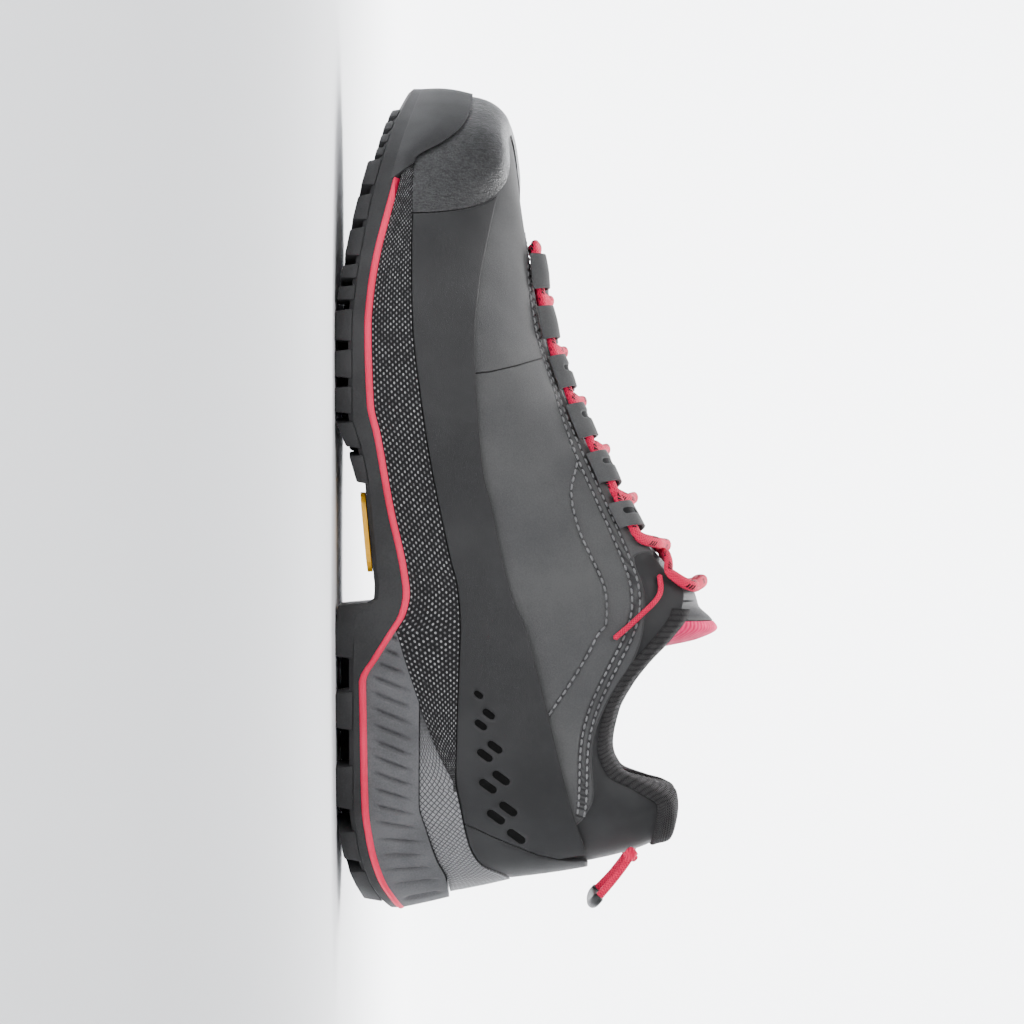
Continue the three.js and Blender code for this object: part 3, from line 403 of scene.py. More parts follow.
# %% [markdown]
# A grid is the best start for a piece of leather or rubber: it is added flat, and each vertex then goes to
# its place on the form. Solidify gives it its wall, and Bevel rounds the cut edges, which is what makes a
# sheet look like leather of a real thickness and not like paper. The helper also keeps a UV map in
# millimetres along and across the sheet, for weaves and stitches that follow the surface.


# %% Helpers: a sheet laid on the form, its wall, its edges and its attributes
def pick(*pieces):
    """Selects these pieces alone, the first as the active one."""
    deselect()
    for piece in pieces:
        piece.select_set(True)
    bpy.context.view_layer.objects.active = pieces[0]


def join(name, *pieces):
    pick(*pieces)
    bpy.ops.object.join()
    pieces[0].name = name
    return pieces[0]


@contextmanager
def editing(piece):
    """Edit mode, with the whole of a piece selected."""
    pick(piece)
    bpy.ops.object.mode_set(mode="EDIT")
    bpy.ops.mesh.select_all(action="SELECT")
    yield
    bpy.ops.object.mode_set(mode="OBJECT")


def finish_modifiers(piece):
    pick(piece)
    for modifier in list(piece.modifiers):
        bpy.ops.object.modifier_apply(modifier=modifier.name)


def read_points(piece):
    flat = np.empty(len(piece.data.vertices) * 3)
    piece.data.vertices.foreach_get("co", flat)
    return flat.reshape(-1, 3)


def write_points(piece, points):
    piece.data.vertices.foreach_set("co", np.ascontiguousarray(points, dtype=np.float32).ravel())
    piece.data.update()


def lay_sheet(name, columns, rows, place, uv_size=(1, 1), joined=(False, False), values=None):
    """A grid whose vertices go to place(u, v) in millimetres. joined closes it along u, along v."""
    deselect()
    bpy.ops.mesh.primitive_grid_add(x_subdivisions=columns, y_subdivisions=rows, size=1)
    piece = bpy.context.object
    piece.name = piece.data.name = name
    flat = read_points(piece)
    u, v = flat[:, 0] + 0.5, flat[:, 1] + 0.5
    points = place(u, v)
    write_points(piece, points * MM)
    mesh = piece.data
    uv = np.empty(len(mesh.loops) * 2, np.float32)
    mesh.uv_layers[0].data.foreach_get("uv", uv)
    uv = (uv.reshape(-1, 2) * np.array(uv_size, np.float32)).ravel()
    mesh.uv_layers[0].data.foreach_set("uv", uv)
    for key, value in (values(u, v, points) if values else {}).items():
        layer = mesh.attributes.new(key, "FLOAT", "POINT")
        layer.data.foreach_set("value", np.broadcast_to(value, u.shape).astype(np.float32))
    if any(joined):
        merge(piece)
    return piece


def merge(piece, distance=1e-5):
    with editing(piece):
        bpy.ops.mesh.remove_doubles(threshold=distance)


def thicken(piece, wall, edge=0.0, segments=2, angle=50, inside=0):
    """Gives a sheet its wall, inwards in millimetres, and rounds its edges."""
    solid = piece.modifiers.new("wall", "SOLIDIFY")
    solid.thickness, solid.offset = wall * MM, -1
    solid.material_offset, solid.material_offset_rim = inside, 0
    if edge:
        round_edges(piece, edge, segments, angle)
    finish_modifiers(piece)
    return piece


def round_edges(piece, edge, segments=2, angle=50):
    bevel = piece.modifiers.new("edges", "BEVEL")
    bevel.width, bevel.segments = edge * MM, segments
    bevel.limit_method, bevel.angle_limit = "ANGLE", math.radians(angle)


def smooth_shade(piece, angle=40):
    pick(piece)
    bpy.ops.object.shade_smooth_by_angle(angle=math.radians(angle))


def trim(piece, far):
    """Cuts a sheet along the line where far is 0 and keeps the side where it is positive."""
    mesh = bmesh.new()
    mesh.from_mesh(piece.data)
    mesh.verts.ensure_lookup_table()
    value = {v: float(far[v.index]) for v in mesh.verts}
    crossing = [e for e in mesh.edges if value[e.verts[0]] * value[e.verts[1]] < 0]
    for edge in crossing:
        start, end = edge.verts
        share = value[start] / (value[start] - value[end])
        _, made = bmesh.utils.edge_split(edge, start, share)
        value[made] = 0.0
    cut = [v for v in mesh.verts if value[v] == 0]
    bmesh.ops.connect_verts(mesh, verts=cut)
    out = [f for f in mesh.faces if sum(value[v] for v in f.verts) < 0]
    bmesh.ops.delete(mesh, geom=out, context="FACES")
    loose = [v for v in mesh.verts if not v.link_faces]
    bmesh.ops.delete(mesh, geom=loose, context="VERTS")
    mesh.to_mesh(piece.data)
    mesh.free()
    merge(piece, 0.00012)
    return piece


def line_distance(points, line):
    """Distance of each point to a line in the plane, and how far along the line it lies."""
    line = np.asarray(line, float)
    start, way = line[:-1], line[1:] - line[:-1]
    size = np.linalg.norm(way, axis=1)
    near = points[:, None, :] - start[None]
    share = np.clip((near * way[None]).sum(-1) / (size**2)[None], 0, 1)
    gap = np.linalg.norm(near - share[..., None] * way[None], axis=-1)
    best = gap.argmin(axis=1)
    row = np.arange(len(points))
    before = np.concatenate([[0], np.cumsum(size)])[best]
    return gap[row, best], before + share[row, best] * size[best]


def region_distance(points, corners):
    """Distance to a closed line in the plane, positive inside it."""
    loop = np.vstack([corners, corners[:1]])
    gap, _ = line_distance(points, loop)
    x, y = points[:, 0], points[:, 1]
    inside = np.zeros(len(points), bool)
    for (x0, y0), (x1, y1) in zip(loop[:-1], loop[1:]):
        if y0 == y1:
            continue
        crosses = ((y0 > y) != (y1 > y)) & (x < (x1 - x0) * (y - y0) / (y1 - y0) + x0)
        inside ^= crosses
    return np.where(inside, gap, -gap)


def rounded(line, count=12):
    """A drawn line with a few corners, made smooth by a curve through them."""
    line = np.asarray(line, float)
    ends = np.vstack([2 * line[0] - line[1], line, 2 * line[-1] - line[-2]])
    out = []
    u = (np.arange(count) / count)[:, None]
    for p0, p1, p2, p3 in zip(ends, ends[1:], ends[2:], ends[3:]):
        bend = 2 * p0 - 5 * p1 + 4 * p2 - p3 + (3 * p1 - p0 - 3 * p2 + p3) * u
        out.append(p1 + 0.5 * u * (p2 - p0 + u * bend))
    return np.vstack([*out, line[-1:]])


def from_side(line):
    """A line drawn as (share of the length, height in mm), as x and z in mm."""
    line = np.asarray(line, float)
    return np.stack([x_of(line[:, 0]), line[:, 1]], axis=1)


# %% [markdown]
# A material is a graph of nodes, and most of it is arithmetic on masks and noises. Written node by node it
# is hard to read, so a small class wraps a socket and lets masks be added and multiplied as in any
# expression. Everything else, textures and ramps, comes from one method.


# %% Helper: shader maths as expressions
class Value:
    def __init__(self, maker, socket):
        self.maker, self.socket = maker, socket

    def _math(self, operation, *inputs):
        return self.maker.node("ShaderNodeMath", {"operation": operation}, **{str(i): x for i, x in enumerate(inputs)})

    def repeat(self, size):
        return self._math("WRAP", self, size, 0.0)

    def step(self, start, end):
        """0 at start, 1 at end, smooth between."""
        ends = {"From Min": start, "From Max": end}
        return self.maker.node("ShaderNodeMapRange", {"interpolation_type": "SMOOTHSTEP"}, Value=self, **ends)


OPERATIONS = {
    "__add__": "ADD", "__sub__": "SUBTRACT", "__mul__": "MULTIPLY", "__truediv__": "DIVIDE",
    "__gt__": "GREATER_THAN", "__lt__": "LESS_THAN", "__abs__": "ABSOLUTE", "sine": "SINE",
    "high": "MAXIMUM", "low": "MINIMUM", "wrap": "PINGPONG",
}
for method, operation in OPERATIONS.items():
    setattr(Value, method, lambda self, *others, kind=operation: self._math(kind, self, *others))
for method in ("__add__", "__sub__", "__mul__"):
    reverse = method.replace("__", "__r", 1)
    setattr(Value, reverse, lambda self, other, kind=OPERATIONS[method]: self._math(kind, other, self))


class Finish:
    """One material. node() takes a type, its settings, and values or links for its sockets by name."""

    def __init__(self, name, colour, roughness, **fixed):
        self.material = bpy.data.materials.new(name)
        self.material.use_nodes = True
        self.tree = self.material.node_tree
        self.shader = self.tree.nodes["Principled BSDF"]
        self.material.diffuse_color = (*colour, 1)
        self.set(**{"Base Color": (*colour, 1), "Roughness": roughness}, **fixed)

    def _plug(self, socket, value):
        if isinstance(value, Value):
            self.tree.links.new(value.socket, socket)
        else:
            socket.default_value = value

    def set(self, **sockets):
        for name, value in sockets.items():
            self._plug(self.shader.inputs[name.replace("_", " ")], value)
        return self

    def node(self, kind, settings=None, output=0, **sockets):
        made = self.tree.nodes.new(kind)
        for name, value in (settings or {}).items():
            setattr(made, name, value)
        for name, value in sockets.items():
            key = int(name) if name.isdigit() else name
            self._plug(made.inputs[key], value)
        return Value(self, made.outputs[output])

    def place(self, stretch=(1, 1, 1)):
        """Object coordinates in millimetres, stretched."""
        place = self.node("ShaderNodeTexCoord", output="Object")
        return self.node("ShaderNodeMapping", Vector=place, Scale=tuple(x / MM for x in stretch))

    def uv(self):
        return self.node("ShaderNodeTexCoord", output="UV")

    def axes(self, vector):
        made = self.node("ShaderNodeSeparateXYZ", Vector=vector)
        return [Value(self, output) for output in made.socket.node.outputs]

    def noise(self, vector, scale, detail=2.0, roughness=0.5):
        return self.node("ShaderNodeTexNoise", Vector=vector, Scale=scale, Detail=detail, Roughness=roughness)

    def attribute(self, name):
        return self.node("ShaderNodeAttribute", {"attribute_name": name}, output="Fac")

    def blend(self, share, first, second):
        """A colour mixed by a mask."""
        sockets = {"0": share, "6": self._rgba(first), "7": self._rgba(second)}
        return self.node("ShaderNodeMix", {"data_type": "RGBA"}, output=2, **sockets)

    @staticmethod
    def _rgba(colour):
        return colour if isinstance(colour, Value) else (*colour, 1)

    def bump(self, height, size, strength=1.0):
        """Relief of this many millimetres."""
        depth = {"Height": height, "Distance": size * MM, "Strength": strength}
        return self.set(Normal=self.node("ShaderNodeBump", output="Normal", **depth))


def rgb(text):
    """A screen colour such as 646464 as the linear colour that a shader takes."""
    parts = [int(text[i : i + 2], 16) / 255 for i in (0, 2, 4)]
    return tuple(x / 12.92 if x <= 0.04045 else ((x + 0.055) / 1.055) ** 2.4 for x in parts)


def paint(piece, *finishes):
    piece.data.materials.clear()
    for finish in finishes:
        piece.data.materials.append(finish.material)


def dress(piece, slot, *finishes):
    """Gives a piece its materials and the frame body. The slot is not used."""
    paint(piece, *finishes)
    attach(piece, "root")
    return piece


def complete(piece, node, slot, finish, wall, edge, segments=2, angle=50, shade=40):
    """Dresses a sheet, gives it its wall and round edges, and puts it in place of its node."""
    dress(piece, slot, finish)
    thicken(piece, wall, edge, segments, angle)
    smooth_shade(piece, shade)
    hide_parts(node)
    return piece


paint(paper, Finish("paper_white", (0.93, 0.94, 0.96), 1.0, Specular_IOR_Level=0.0))

# %% [markdown]
# Seams are drawn in the photograph's two views, so they have to be thrown onto the last: straight down for a
# line seen from above, and straight in from the side for one seen from the side. A tree of the form's faces
# finds where such a throw lands.


# %% Helper: lines thrown onto the form from above or from a side
def build_tree(columns=360, rows=60):
    a, t = np.meshgrid(np.arange(columns) / columns, np.linspace(0, 1, rows + 1), indexing="ij")
    points = form(a.ravel(), t.ravel())
    index = np.arange(columns * (rows + 1)).reshape(columns, rows + 1)
    ahead = np.roll(index, -1, axis=0)
    faces = np.stack([index[:, :-1], index[:, 1:], ahead[:, 1:], ahead[:, :-1]], axis=-1).reshape(-1, 4)
    return BVHTree.FromPolygons([Vector(p) for p in points], faces.tolist())


form_tree = build_tree()


def thrown(starts, way):
    """Where rays from many starts land on the form, in mm. A ray that misses is left out."""
    hits = [form_tree.ray_cast(Vector(start), Vector(way))[0] for start in starts]
    return np.array([hit for hit in hits if hit is not None])


def densely(line, step=1.0):
    line = np.asarray(line, float)
    before = np.concatenate([[0], np.cumsum(np.linalg.norm(np.diff(line, axis=0), axis=1))])
    marks = np.linspace(0, before[-1], max(2, int(before[-1] / step)))
    return np.stack([np.interp(marks, before, line[:, k]) for k in range(line.shape[1])], axis=1)


def from_above(line):
    """A line of x and y."""
    return thrown([(x, y, 200) for x, y in densely(line)], (0, 0, -1))


def from_the_side(line, outer):
    """A line of x and z."""
    side = 1 if outer else -1
    return thrown([(x, 200 * side, z) for x, z in densely(line)], (0, -side, 0))


def shifted(line, distance):
    """A line in the plane moved sideways."""
    line = densely(line, 2.0)
    way = np.gradient(line, axis=0)
    return line + unit(np.stack([-way[:, 1], way[:, 0]], axis=1)) * distance


# The seam rows of the eyestay: round the throat as x and y, and down the ankle as share and height.
THROAT_ROW = rounded([(126, 23.5), (147, 20), (158, 18), (169, 17.6), (174, 16.5), (180, 13.3), (185.5, 9), (187.6, 2),
                      (188, -6), (187.5, -14), (185, -20.8), (180, -26.3), (173, -29.6), (157, -31), (140, -31.5),
                      (125, -31), (104, -33.5), (86, -35.5)], 6)
ANKLE_ROW = [(.56, 76.8), (.5246, 80.6), (.489, 85.5), (.4504, 90.1), (.4115, 94.4), (.3787, 97.5), (.3593, 97.6)]
ANKLE_ROW += [(.3495, 96), (.3179, 91.7), (.2851, 86.9), (.2523, 82.4), (.2231, 79.6), (.1976, 78.6), (.1648, 78.9)]
ANKLE_ROW += [(.132, 79.4), (.118, 78.2)]
OUTER_ROW = [(.542, 78.4), (.5246, 77.2), (.5027, 76.2), (.4626, 78.5), (.4273, 82.8), (.3981, 86.5), (.3751, 87.8)]
OUTER_ROW += [(.342, 87.4), (.3398, 85.5), (.3143, 82), (.2815, 76.7), (.2523, 71.3), (.2378, 68.6)]
MEDIAL_JOINT, ROW_GAP = 74, 2.4


def sides_of(line, distance=0.0):
    """A row of the side, thrown onto both sides of the shoe."""
    drawn = shifted(from_side(rounded(line, 6)), distance)
    return [from_the_side(drawn, outer) for outer in (True, False)]


def evened(row, reach=7, passes=3):
    """A row whose joints are made smooth, laid back on the form."""
    row = densely(row)
    for _ in range(passes):
        padded = np.vstack([row[:1].repeat(reach, 0), row, row[-1:].repeat(reach, 0)])
        total = np.cumsum(np.vstack([np.zeros((1, 3)), padded]), axis=0)
        row[1:-1] = ((total[2 * reach + 1 :] - total[: -2 * reach - 1]) / (2 * reach + 1))[1:-1]
    return np.array([form_tree.find_nearest(Vector(place))[0] for place in row])


def eyestay_row(distance):
    """From the outer ankle up to the throat, round its front and back down on the inner side."""
    lateral, medial = sides_of(ANKLE_ROW, -distance)
    behind = medial[medial[:, 0] < MEDIAL_JOINT]
    return evened(np.vstack([lateral[::-1], from_above(shifted(THROAT_ROW, -distance)), behind]))


seam_rows = [eyestay_row(0.0), eyestay_row(ROW_GAP), *sides_of(OUTER_ROW)]
print("seam rows:", len(seam_rows), "with places:", [len(row) for row in seam_rows])

# %% [markdown]
# ## The upper
#
# The upper is one hollow wall of grey nubuck, 2 mm thick, with a dark smooth leather panel let in round the
# ankle. Nubuck is leather sanded to a short nap: matt, with soft cloudy patches where the nap lies
# differently, and no gloss. A real maker cuts the panels and sews them, but a modeller gets a cleaner wall
# from one sheet that carries the distance to each panel's edge. The material turns that distance into a
# sharp edge, and the sheet steps down a little there.

# %% Where the panels, the seam and the soft creases lie, seen from the side: share of the length, height
ANKLE_EDGE = [(0.432, 99), (0.424, 96.6), (0.386, 100), (0.34, 99.7), (0.301, 96.2), (0.275, 91.7), (0.249, 87.4)]
ANKLE_EDGE += [(0.216, 83.8), (0.184, 82.9), (0.142, 83.6), (0.122, 81.5), (0.106, 78), (0.09, 70)]
ANKLE_PANEL = from_side(np.vstack([rounded(ANKLE_EDGE, 6), [(0.02, 60), (-0.1, 60), (-0.1, 140), (0.44, 140)]]))
CROSS_SEAM = from_side([(0.6437, 40), (0.648, 50), (0.656, 58.5), (0.668, 68.3), (0.68, 78)])
SEAM_TOP = 67.4
CREASES = table("s z s_end z_end width depth", [
    [.745, 44, .735, 60, 5, .45], [.705, 42, .7, 62, 6, .5], [.3, 62, .36, 86, 9, .8],
    [.2, 74, .26, 79, 5, .5], [.43, 82, .52, 70, 7, .5], [.5, 48, .56, 66, 10, .5],
])


def crease_depth(points):
    """How deep the soft troughs lie at each point of the side."""
    depth = np.zeros(len(points))
    side = points[:, [0, 2]]
    for s, z, s_end, z_end, width, most in zip(*CREASES.values()):
        gap, _ = line_distance(side, from_side([(s, z), (s_end, z_end)]))
        depth += most * np.exp(-((gap / width) ** 2))
    return depth


PANEL_STEP = 0.6
UPPER_COLUMNS, UPPER_ROWS = 380, 64


def upper_place(u, v):
    a = 1 - u
    flat = form(a, v)
    recess = PANEL_STEP * ease(region_distance(flat[:, [0, 2]], ANKLE_PANEL), -0.5, 0.9)
    return flat - form_normal(a, v) * (recess + crease_depth(flat))[:, None]


def row_distance(points):
    """Distance of each point to the nearest seam row."""
    near = np.full(len(points), 99.0)
    for row in seam_rows:
        for start in range(0, len(row), 12):
            part = row[start : start + 13]
            gap = np.linalg.norm(points[:, None] - part[None], axis=-1).min(axis=1)
            near = np.minimum(near, gap)
    return near


def upper_values(u, v, points):
    side = points[:, [0, 2]]
    behind = np.sign(np.interp(side[:, 1], CROSS_SEAM[:, 1], CROSS_SEAM[:, 0]) - side[:, 0])
    return {  # distances in mm to each panel's edge
        "ankle": region_distance(side, ANKLE_PANEL),
        "seam": line_distance(side, CROSS_SEAM)[0] * behind,
        "seam_top": SEAM_TOP - side[:, 1],
        "row": row_distance(points),
    }


# %% Nubuck, smooth leather and the cloth lining
def nap_of(name):
    """Sanded leather: its finish, cloudy colour, large clouds and the height of its nap."""
    finish = Finish(name, rgb("454546"), 0.92, Sheen_Weight=0.08, Sheen_Roughness=0.6, Specular_IOR_Level=0.2)
    place = finish.place()
    cloud, nap = finish.noise(place, 0.05, 3), finish.noise(place, 2.2, 3, 0.65)
    height = nap * 0.6 + finish.noise(place, 7.0, 2, 0.6) * 0.4
    suede = finish.blend((cloud * 0.55 + nap * 0.45).step(0.3, 0.7), rgb("434344"), rgb("505050"))
    return finish, suede, cloud, height


def nubuck_finish():
    finish, suede, cloud, height = nap_of("nubuck")
    ankle = finish.attribute("ankle")
    inside, edge = ankle.step(-0.12, 0.12), 1 - abs(ankle + 0.35).step(0.0, 0.5)
    # Along the seam rows the nubuck is painted darker as the shade in the stitch groove; the same mask also sinks that
    # groove in the bump.
    stitch_groove_and_shade = 1 - finish.attribute("row").step(0.3, 1.2)
    joint = (1 - abs(finish.attribute("seam")).step(0.1, 0.38)) * finish.attribute("seam_top").step(-0.2, 0.2)
    for mask, dark in ((stitch_groove_and_shade * 0.8, "1c1c1d"), (joint, "0d0d0e"), (edge * 0.5, "2a2a2b")):
        suede = finish.blend(mask, suede, rgb(dark))
    smooth_leather = finish.blend(cloud.step(0.35, 0.65), rgb("232324"), rgb("2c2c2d"))
    finish.set(Base_Color=finish.blend(inside, suede, smooth_leather), Roughness=0.92 - inside * 0.38)
    height = height * (1 - inside * 0.75) * 0.16 - joint * 0.6 - ankle.step(-0.35, 0.2) * 0.5 - stitch_groove_and_shade * 0.35
    return finish.bump(height, 1.0, 0.8)


def lining_finish():
    """A plain weave on the piece's own UV map in millimetres."""
    dark, pitch = rgb("1c1b1c"), 0.9
    finish = Finish("lining_cloth", dark, 0.95, Sheen_Weight=0.05, Sheen_Roughness=0.5, Specular_IOR_Level=0.15)
    across, along, _ = finish.axes(finish.uv())
    turns = 2 * math.pi / pitch
    threads = (across * turns).sine() * (along * turns).sine() * 0.5 + 0.5
    finish.set(Base_Color=finish.blend(threads.step(0.3, 0.85), dark, rgb("3a393a")))
    return finish.bump(threads, 0.25, 0.9)

# %% The upper itself
upper = lay_sheet("upper_shell", UPPER_COLUMNS, UPPER_ROWS, upper_place, (650, 70), (True, False), upper_values)
dress(upper, "nubuck", nubuck_finish(), lining_finish())
thicken(upper, WALL, inside=1)
round_edges(upper, 0.45, 2, 60)
finish_modifiers(upper)
smooth_shade(upper)
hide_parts("upper")
print("upper:", len(upper.data.polygons), "faces")

# %% [markdown]
# ## Rands, heel counter and toe cap
#
# The rand is the dark smooth band that covers the upper's foot, and it grows into a high heel panel with ten
# slanted slots. Its lower edge is the rim of the sole and its upper edge a long line that rises to the heel.
# A sheet takes such edges exactly when each column of the grid runs from one line to the other. The toe
# cap's inner edge crosses the columns, so that sheet is laid too large and trimmed with a cut.

# %% Edges of the overlays
RAND_ROWS = np.array([[row_s, row_z] for row_s, row_z in zip(RAND_TOP["s"], RAND_TOP["z"]) if row_z > 0][::-1][1:])
rand_share = smooth({"s": RAND_ROWS[:, 0], "z": RAND_ROWS[:, 1]}, "z")
COUNTER_LINE = from_side(np.stack([COUNTER_EDGE["s"], COUNTER_EDGE["z"] * COLLAR_HEIGHT], axis=1))
CAP_LINE = rounded(np.stack([CAP_EDGE["y"] * BALL_WIDTH / 2, x_of(CAP_EDGE["s"])], axis=1), 8)[::-1]
RAND_WALL, CAP_WALL, COUNTER_WALL, RAND_START, RAND_END = 0.9, 1.6, 1.1, 0.03, 0.9


def rim_z(a):
    return SOLE_HEIGHT * rim_share(length_share(a))


def cap_edge_x(y):
    return np.interp(y, CAP_LINE[:, 0], CAP_LINE[:, 1])


SLOTS = table("s z size", [
    [.2645, 46.2, 3.4], [.2414, 49.5, 4.6], [.2286, 46.9, 4.6], [.2019, 51.5, 5.6], [.1922, 48.2, 5.8],
    [.1648, 53.5, 6.6], [.1551, 49.2, 6.6], [.1271, 55.8, 6.8], [.1174, 51.8, 6.8], [.0931, 58.4, 7],
])
SLOT_TURN, SLOT_SUNK = math.radians(37), 0.5


def slot_depth(points):
    """How far inside a slot each point of the side lies, positive inside."""
    most = np.full(len(points), -9.0)
    way = np.array([-math.sin(SLOT_TURN), math.cos(SLOT_TURN)])
    for s, z, size in zip(*SLOTS.values()):
        middle = np.array([x_of(s), z])
        thick = 0.62 + size * 0.1
        line = [middle - way * (size / 2 - thick), middle + way * (size / 2 - thick)]
        most = np.maximum(most, thick - line_distance(points[:, [0, 2]], line)[0])
    return most


# %% Smooth leather and cap rubber
def leather_finish(name, slots=False):
    finish = Finish(name, rgb("282829"), 0.55, Specular_IOR_Level=0.25)
    place = finish.place()
    cloud, pores = finish.noise(place, 0.04, 2), finish.noise(place, 3.5, 3, 0.6)
    colour = finish.blend(cloud.step(0.3, 0.7), rgb("272728"), rgb("2f2f30"))
    height, roughness = pores * 0.1, pores * 0.12 + 0.5
    if slots:
        # Inside the slots the leather is painted near black as shade in the recess; the same mask sinks them in the
        # bump and makes them rougher.
        slot = finish.attribute("slot").step(-0.1, 0.12)
        colour = finish.blend(slot, colour, rgb("020202"))
        height, roughness = height - slot * 0.6, roughness + slot * 0.5
    return finish.set(Base_Color=colour, Roughness=roughness).bump(height, 1.0, 0.7)


def cap_finish():
    """Rubber with a fine pebble, and short brushed strokes across the toe: relief in the bump, and paler colour as
    painted highlight.
    """
    finish = Finish("cap_rubber", rgb("3c3c3d"), 0.5, Specular_IOR_Level=0.45)
    place = finish.place()
    pebble = finish.noise(place, 1.5, 3, 0.6)
    stroke_relief_and_highlight = finish.noise(finish.place(stretch=(1.6, 0.25, 0.5)), 1.0, 2, 0.6)
    rough = finish.noise(place, 0.09, 2)
    # The pebble gives the rubber its own mottled tone; the strokes are painted paler as highlight.
    finish.set(
        Base_Color=finish.blend((pebble * 0.6 + stroke_relief_and_highlight * 0.4).step(0.35, 0.7), rgb("171718"), rgb("3a3a3b")),
        Roughness=pebble * 0.2 + rough * 0.15 + 0.27,
    )
    return finish.bump(pebble * 0.6 + stroke_relief_and_highlight * 0.6, 0.42, 0.9)


slotted_leather = leather_finish("rand_slotted", True)


# %% The rands, outer and inner side
def ends_at(start, end, outer):
    """Two shares of the length as places round the shoe, the lower one first."""
    return sorted((float(ring_at(start, outer)), float(ring_at(end, outer))))


def make_rand(side):
    outer = SIDES[side]
    first, last = ends_at(RAND_START, RAND_END, outer)

    def place(u, v):
        a = mix(last, first, u)
        columns, back = np.unique(a, return_inverse=True)
        low = climb_to(columns, rim_z(columns) + GAP)

        def below(t):
            points = form(columns, t)
            return points[:, 2] < COLLAR_HEIGHT * rand_share(share_of(points[:, 0]))

        high = search(below, columns.shape)
        flat = form_at(a, mix(low[back], np.maximum(high, low + 0.01)[back], v), GAP + RAND_WALL)
        sunk = ease(slot_depth(flat), -0.4, 0.4) * SLOT_SUNK
        return flat - form_normal(a, mix(low[back], high[back], v)) * sunk[:, None]

    rand = lay_sheet(
        f"rand_band_{side}", 300, 44, place, (250, 36), values=lambda u, v, points: {"slot": slot_depth(points)}
    )
    points = read_points(rand) / MM
    trim(rand, cap_edge_x(points[:, 1]) - GAP - points[:, 0])
    points = read_points(rand) / MM
    trim(rand, -region_distance(points[:, [0, 2]] - [GAP, 0], COUNTER_LINE))
    complete(rand, f"rand_{side}", "rand_leather", slotted_leather, RAND_WALL, 0.3)


for side in SIDES:
    make_rand(side)


# %% The heel counter and the toe cap
def overlay(name, first, last, columns, rows, top, wall, distance, clear=GAP, feather=0.01):
    def place(u, v):
        a = mix(last, first, u)
        each, back = np.unique(a, return_inverse=True)
        low = climb_to(each % 1, rim_z(each) + clear)[back]
        climb = mix(low, top, v)
        inside = distance(form_at(a, climb, GAP + wall))
        return form_at(a, climb, GAP + wall * mix(0.3, 1, ease(inside, 0, feather)))

    piece = lay_sheet(name, columns, rows, place, (130, 70))
    trim(piece, distance(read_points(piece) / MM))
    return piece


counter = overlay(
    "heel_counter_panel", -0.14, 0.14, 120, 56, 0.9, COUNTER_WALL,
    lambda p: region_distance(p[:, [0, 2]], COUNTER_LINE),
)
complete(counter, "heel_counter", "rand_leather", leather_finish("rand_leather"), COUNTER_WALL, 0.35)

toe_cap = overlay(
    "toe_cap_rubber", 0.345, 0.655, 200, 64, 0.93, CAP_WALL, lambda p: p[:, 0] - cap_edge_x(p[:, 1]),
    clear=-1.0, feather=7.0,
)
complete(toe_cap, "toe_cap", "cap_rubber", cap_finish(), CAP_WALL, 0.55, 3)
print("toe cap:", len(toe_cap.data.polygons), "faces; counter:", len(counter.data.polygons))

# %% [markdown]
# ## The sole
#
# The sole is a stack: a lugged rubber outsole that climbs the toe, a thin coral foam layer, and above it a
# cup that is covered with a dotted mesh in front and is a grooved foam wedge with a hatched stabiliser under
# the heel. Each layer runs round the whole shoe, so each is again a grid: one direction goes round and the
# other climbs from the layer's lower line to its upper one.

# %% Heights and the outer face of the cup
STRIPE_HIGH, LIP, SWELL, WRAP_WALL, WRAP_ENDS, FOOT_INSET = 2.0, 1.6, 0.6, 2.6, (0.66, 0.34), 0.4
SEAM = {"s": HEEL_SEAM["s"][:7][::-1], "z": HEEL_SEAM["z"][:7][::-1] * SOLE_HEIGHT}
WEDGE = {"s": WEDGE_TOP["s"][:7][::-1], "z": WEDGE_TOP["z"][:7][::-1] * SOLE_HEIGHT}
seam_height, wedge_height = smooth(SEAM, "z"), smooth(WEDGE, "z")


def stripe_z(s):
    return SOLE_HEIGHT * stripe_share(s)


def above_stripe(s):
    return stripe_z(s) + STRIPE_HIGH + GAP


def rim_height(s):
    return SOLE_HEIGHT * rim_share(s)


def plate_z(s):
    return SOLE_HEIGHT * plate_share(s)


def tread_z(s):
    return SOLE_HEIGHT * tread_share(s)


def at_height(place, z):
    made = place.copy()
    made[..., 2] = z
    return made


def rim_point(a, lip):
    z = rim_z(a)
    return at_height(form_at(a, climb_to(a, z), GAP + lip), z)


def cup_face(a, z, step=0.0):
    """The cup's outer face at a height. step moves its foot in."""
    each, back = np.unique(np.round(a, 6), return_inverse=True)
    each = each % 1
    s = length_share(each)
    inset = FOOT_INSET + step * (1 - 0.6 * ease(s, 0.02, 0.16))
    foot = at_height(outline_at(each, inset), above_stripe(s))
    rim = rim_point(each, LIP)
    way = outward_of(each)
    foot, rim, way = foot[back], rim[back], way[back]
    share = np.clip((z - foot[:, 2]) / (rim[:, 2] - foot[:, 2]), 0, 1)
    place = mix(foot, rim, share[:, None]) + way * (SWELL * 4 * share * (1 - share))[:, None]
    place[:, 2] = z
    return place


def band(name, first, last, columns, rows, low, high, face, relief=None, uv_size=(1, 1)):
    """A sheet from one line of the side to another: low and high give heights at a share of the length."""

    def place(u, v):
        a = mix(last, first, u)
        s = length_share(a)
        bottom, top = low(s), high(s)
        z = mix(bottom, np.maximum(top, bottom + 0.02), v)
        points = face(a, z)
        if relief is not None:
            points = points - outward_of(a) * relief(s, z, v)[:, None]
        return points

    return lay_sheet(name, columns, rows, place, uv_size)
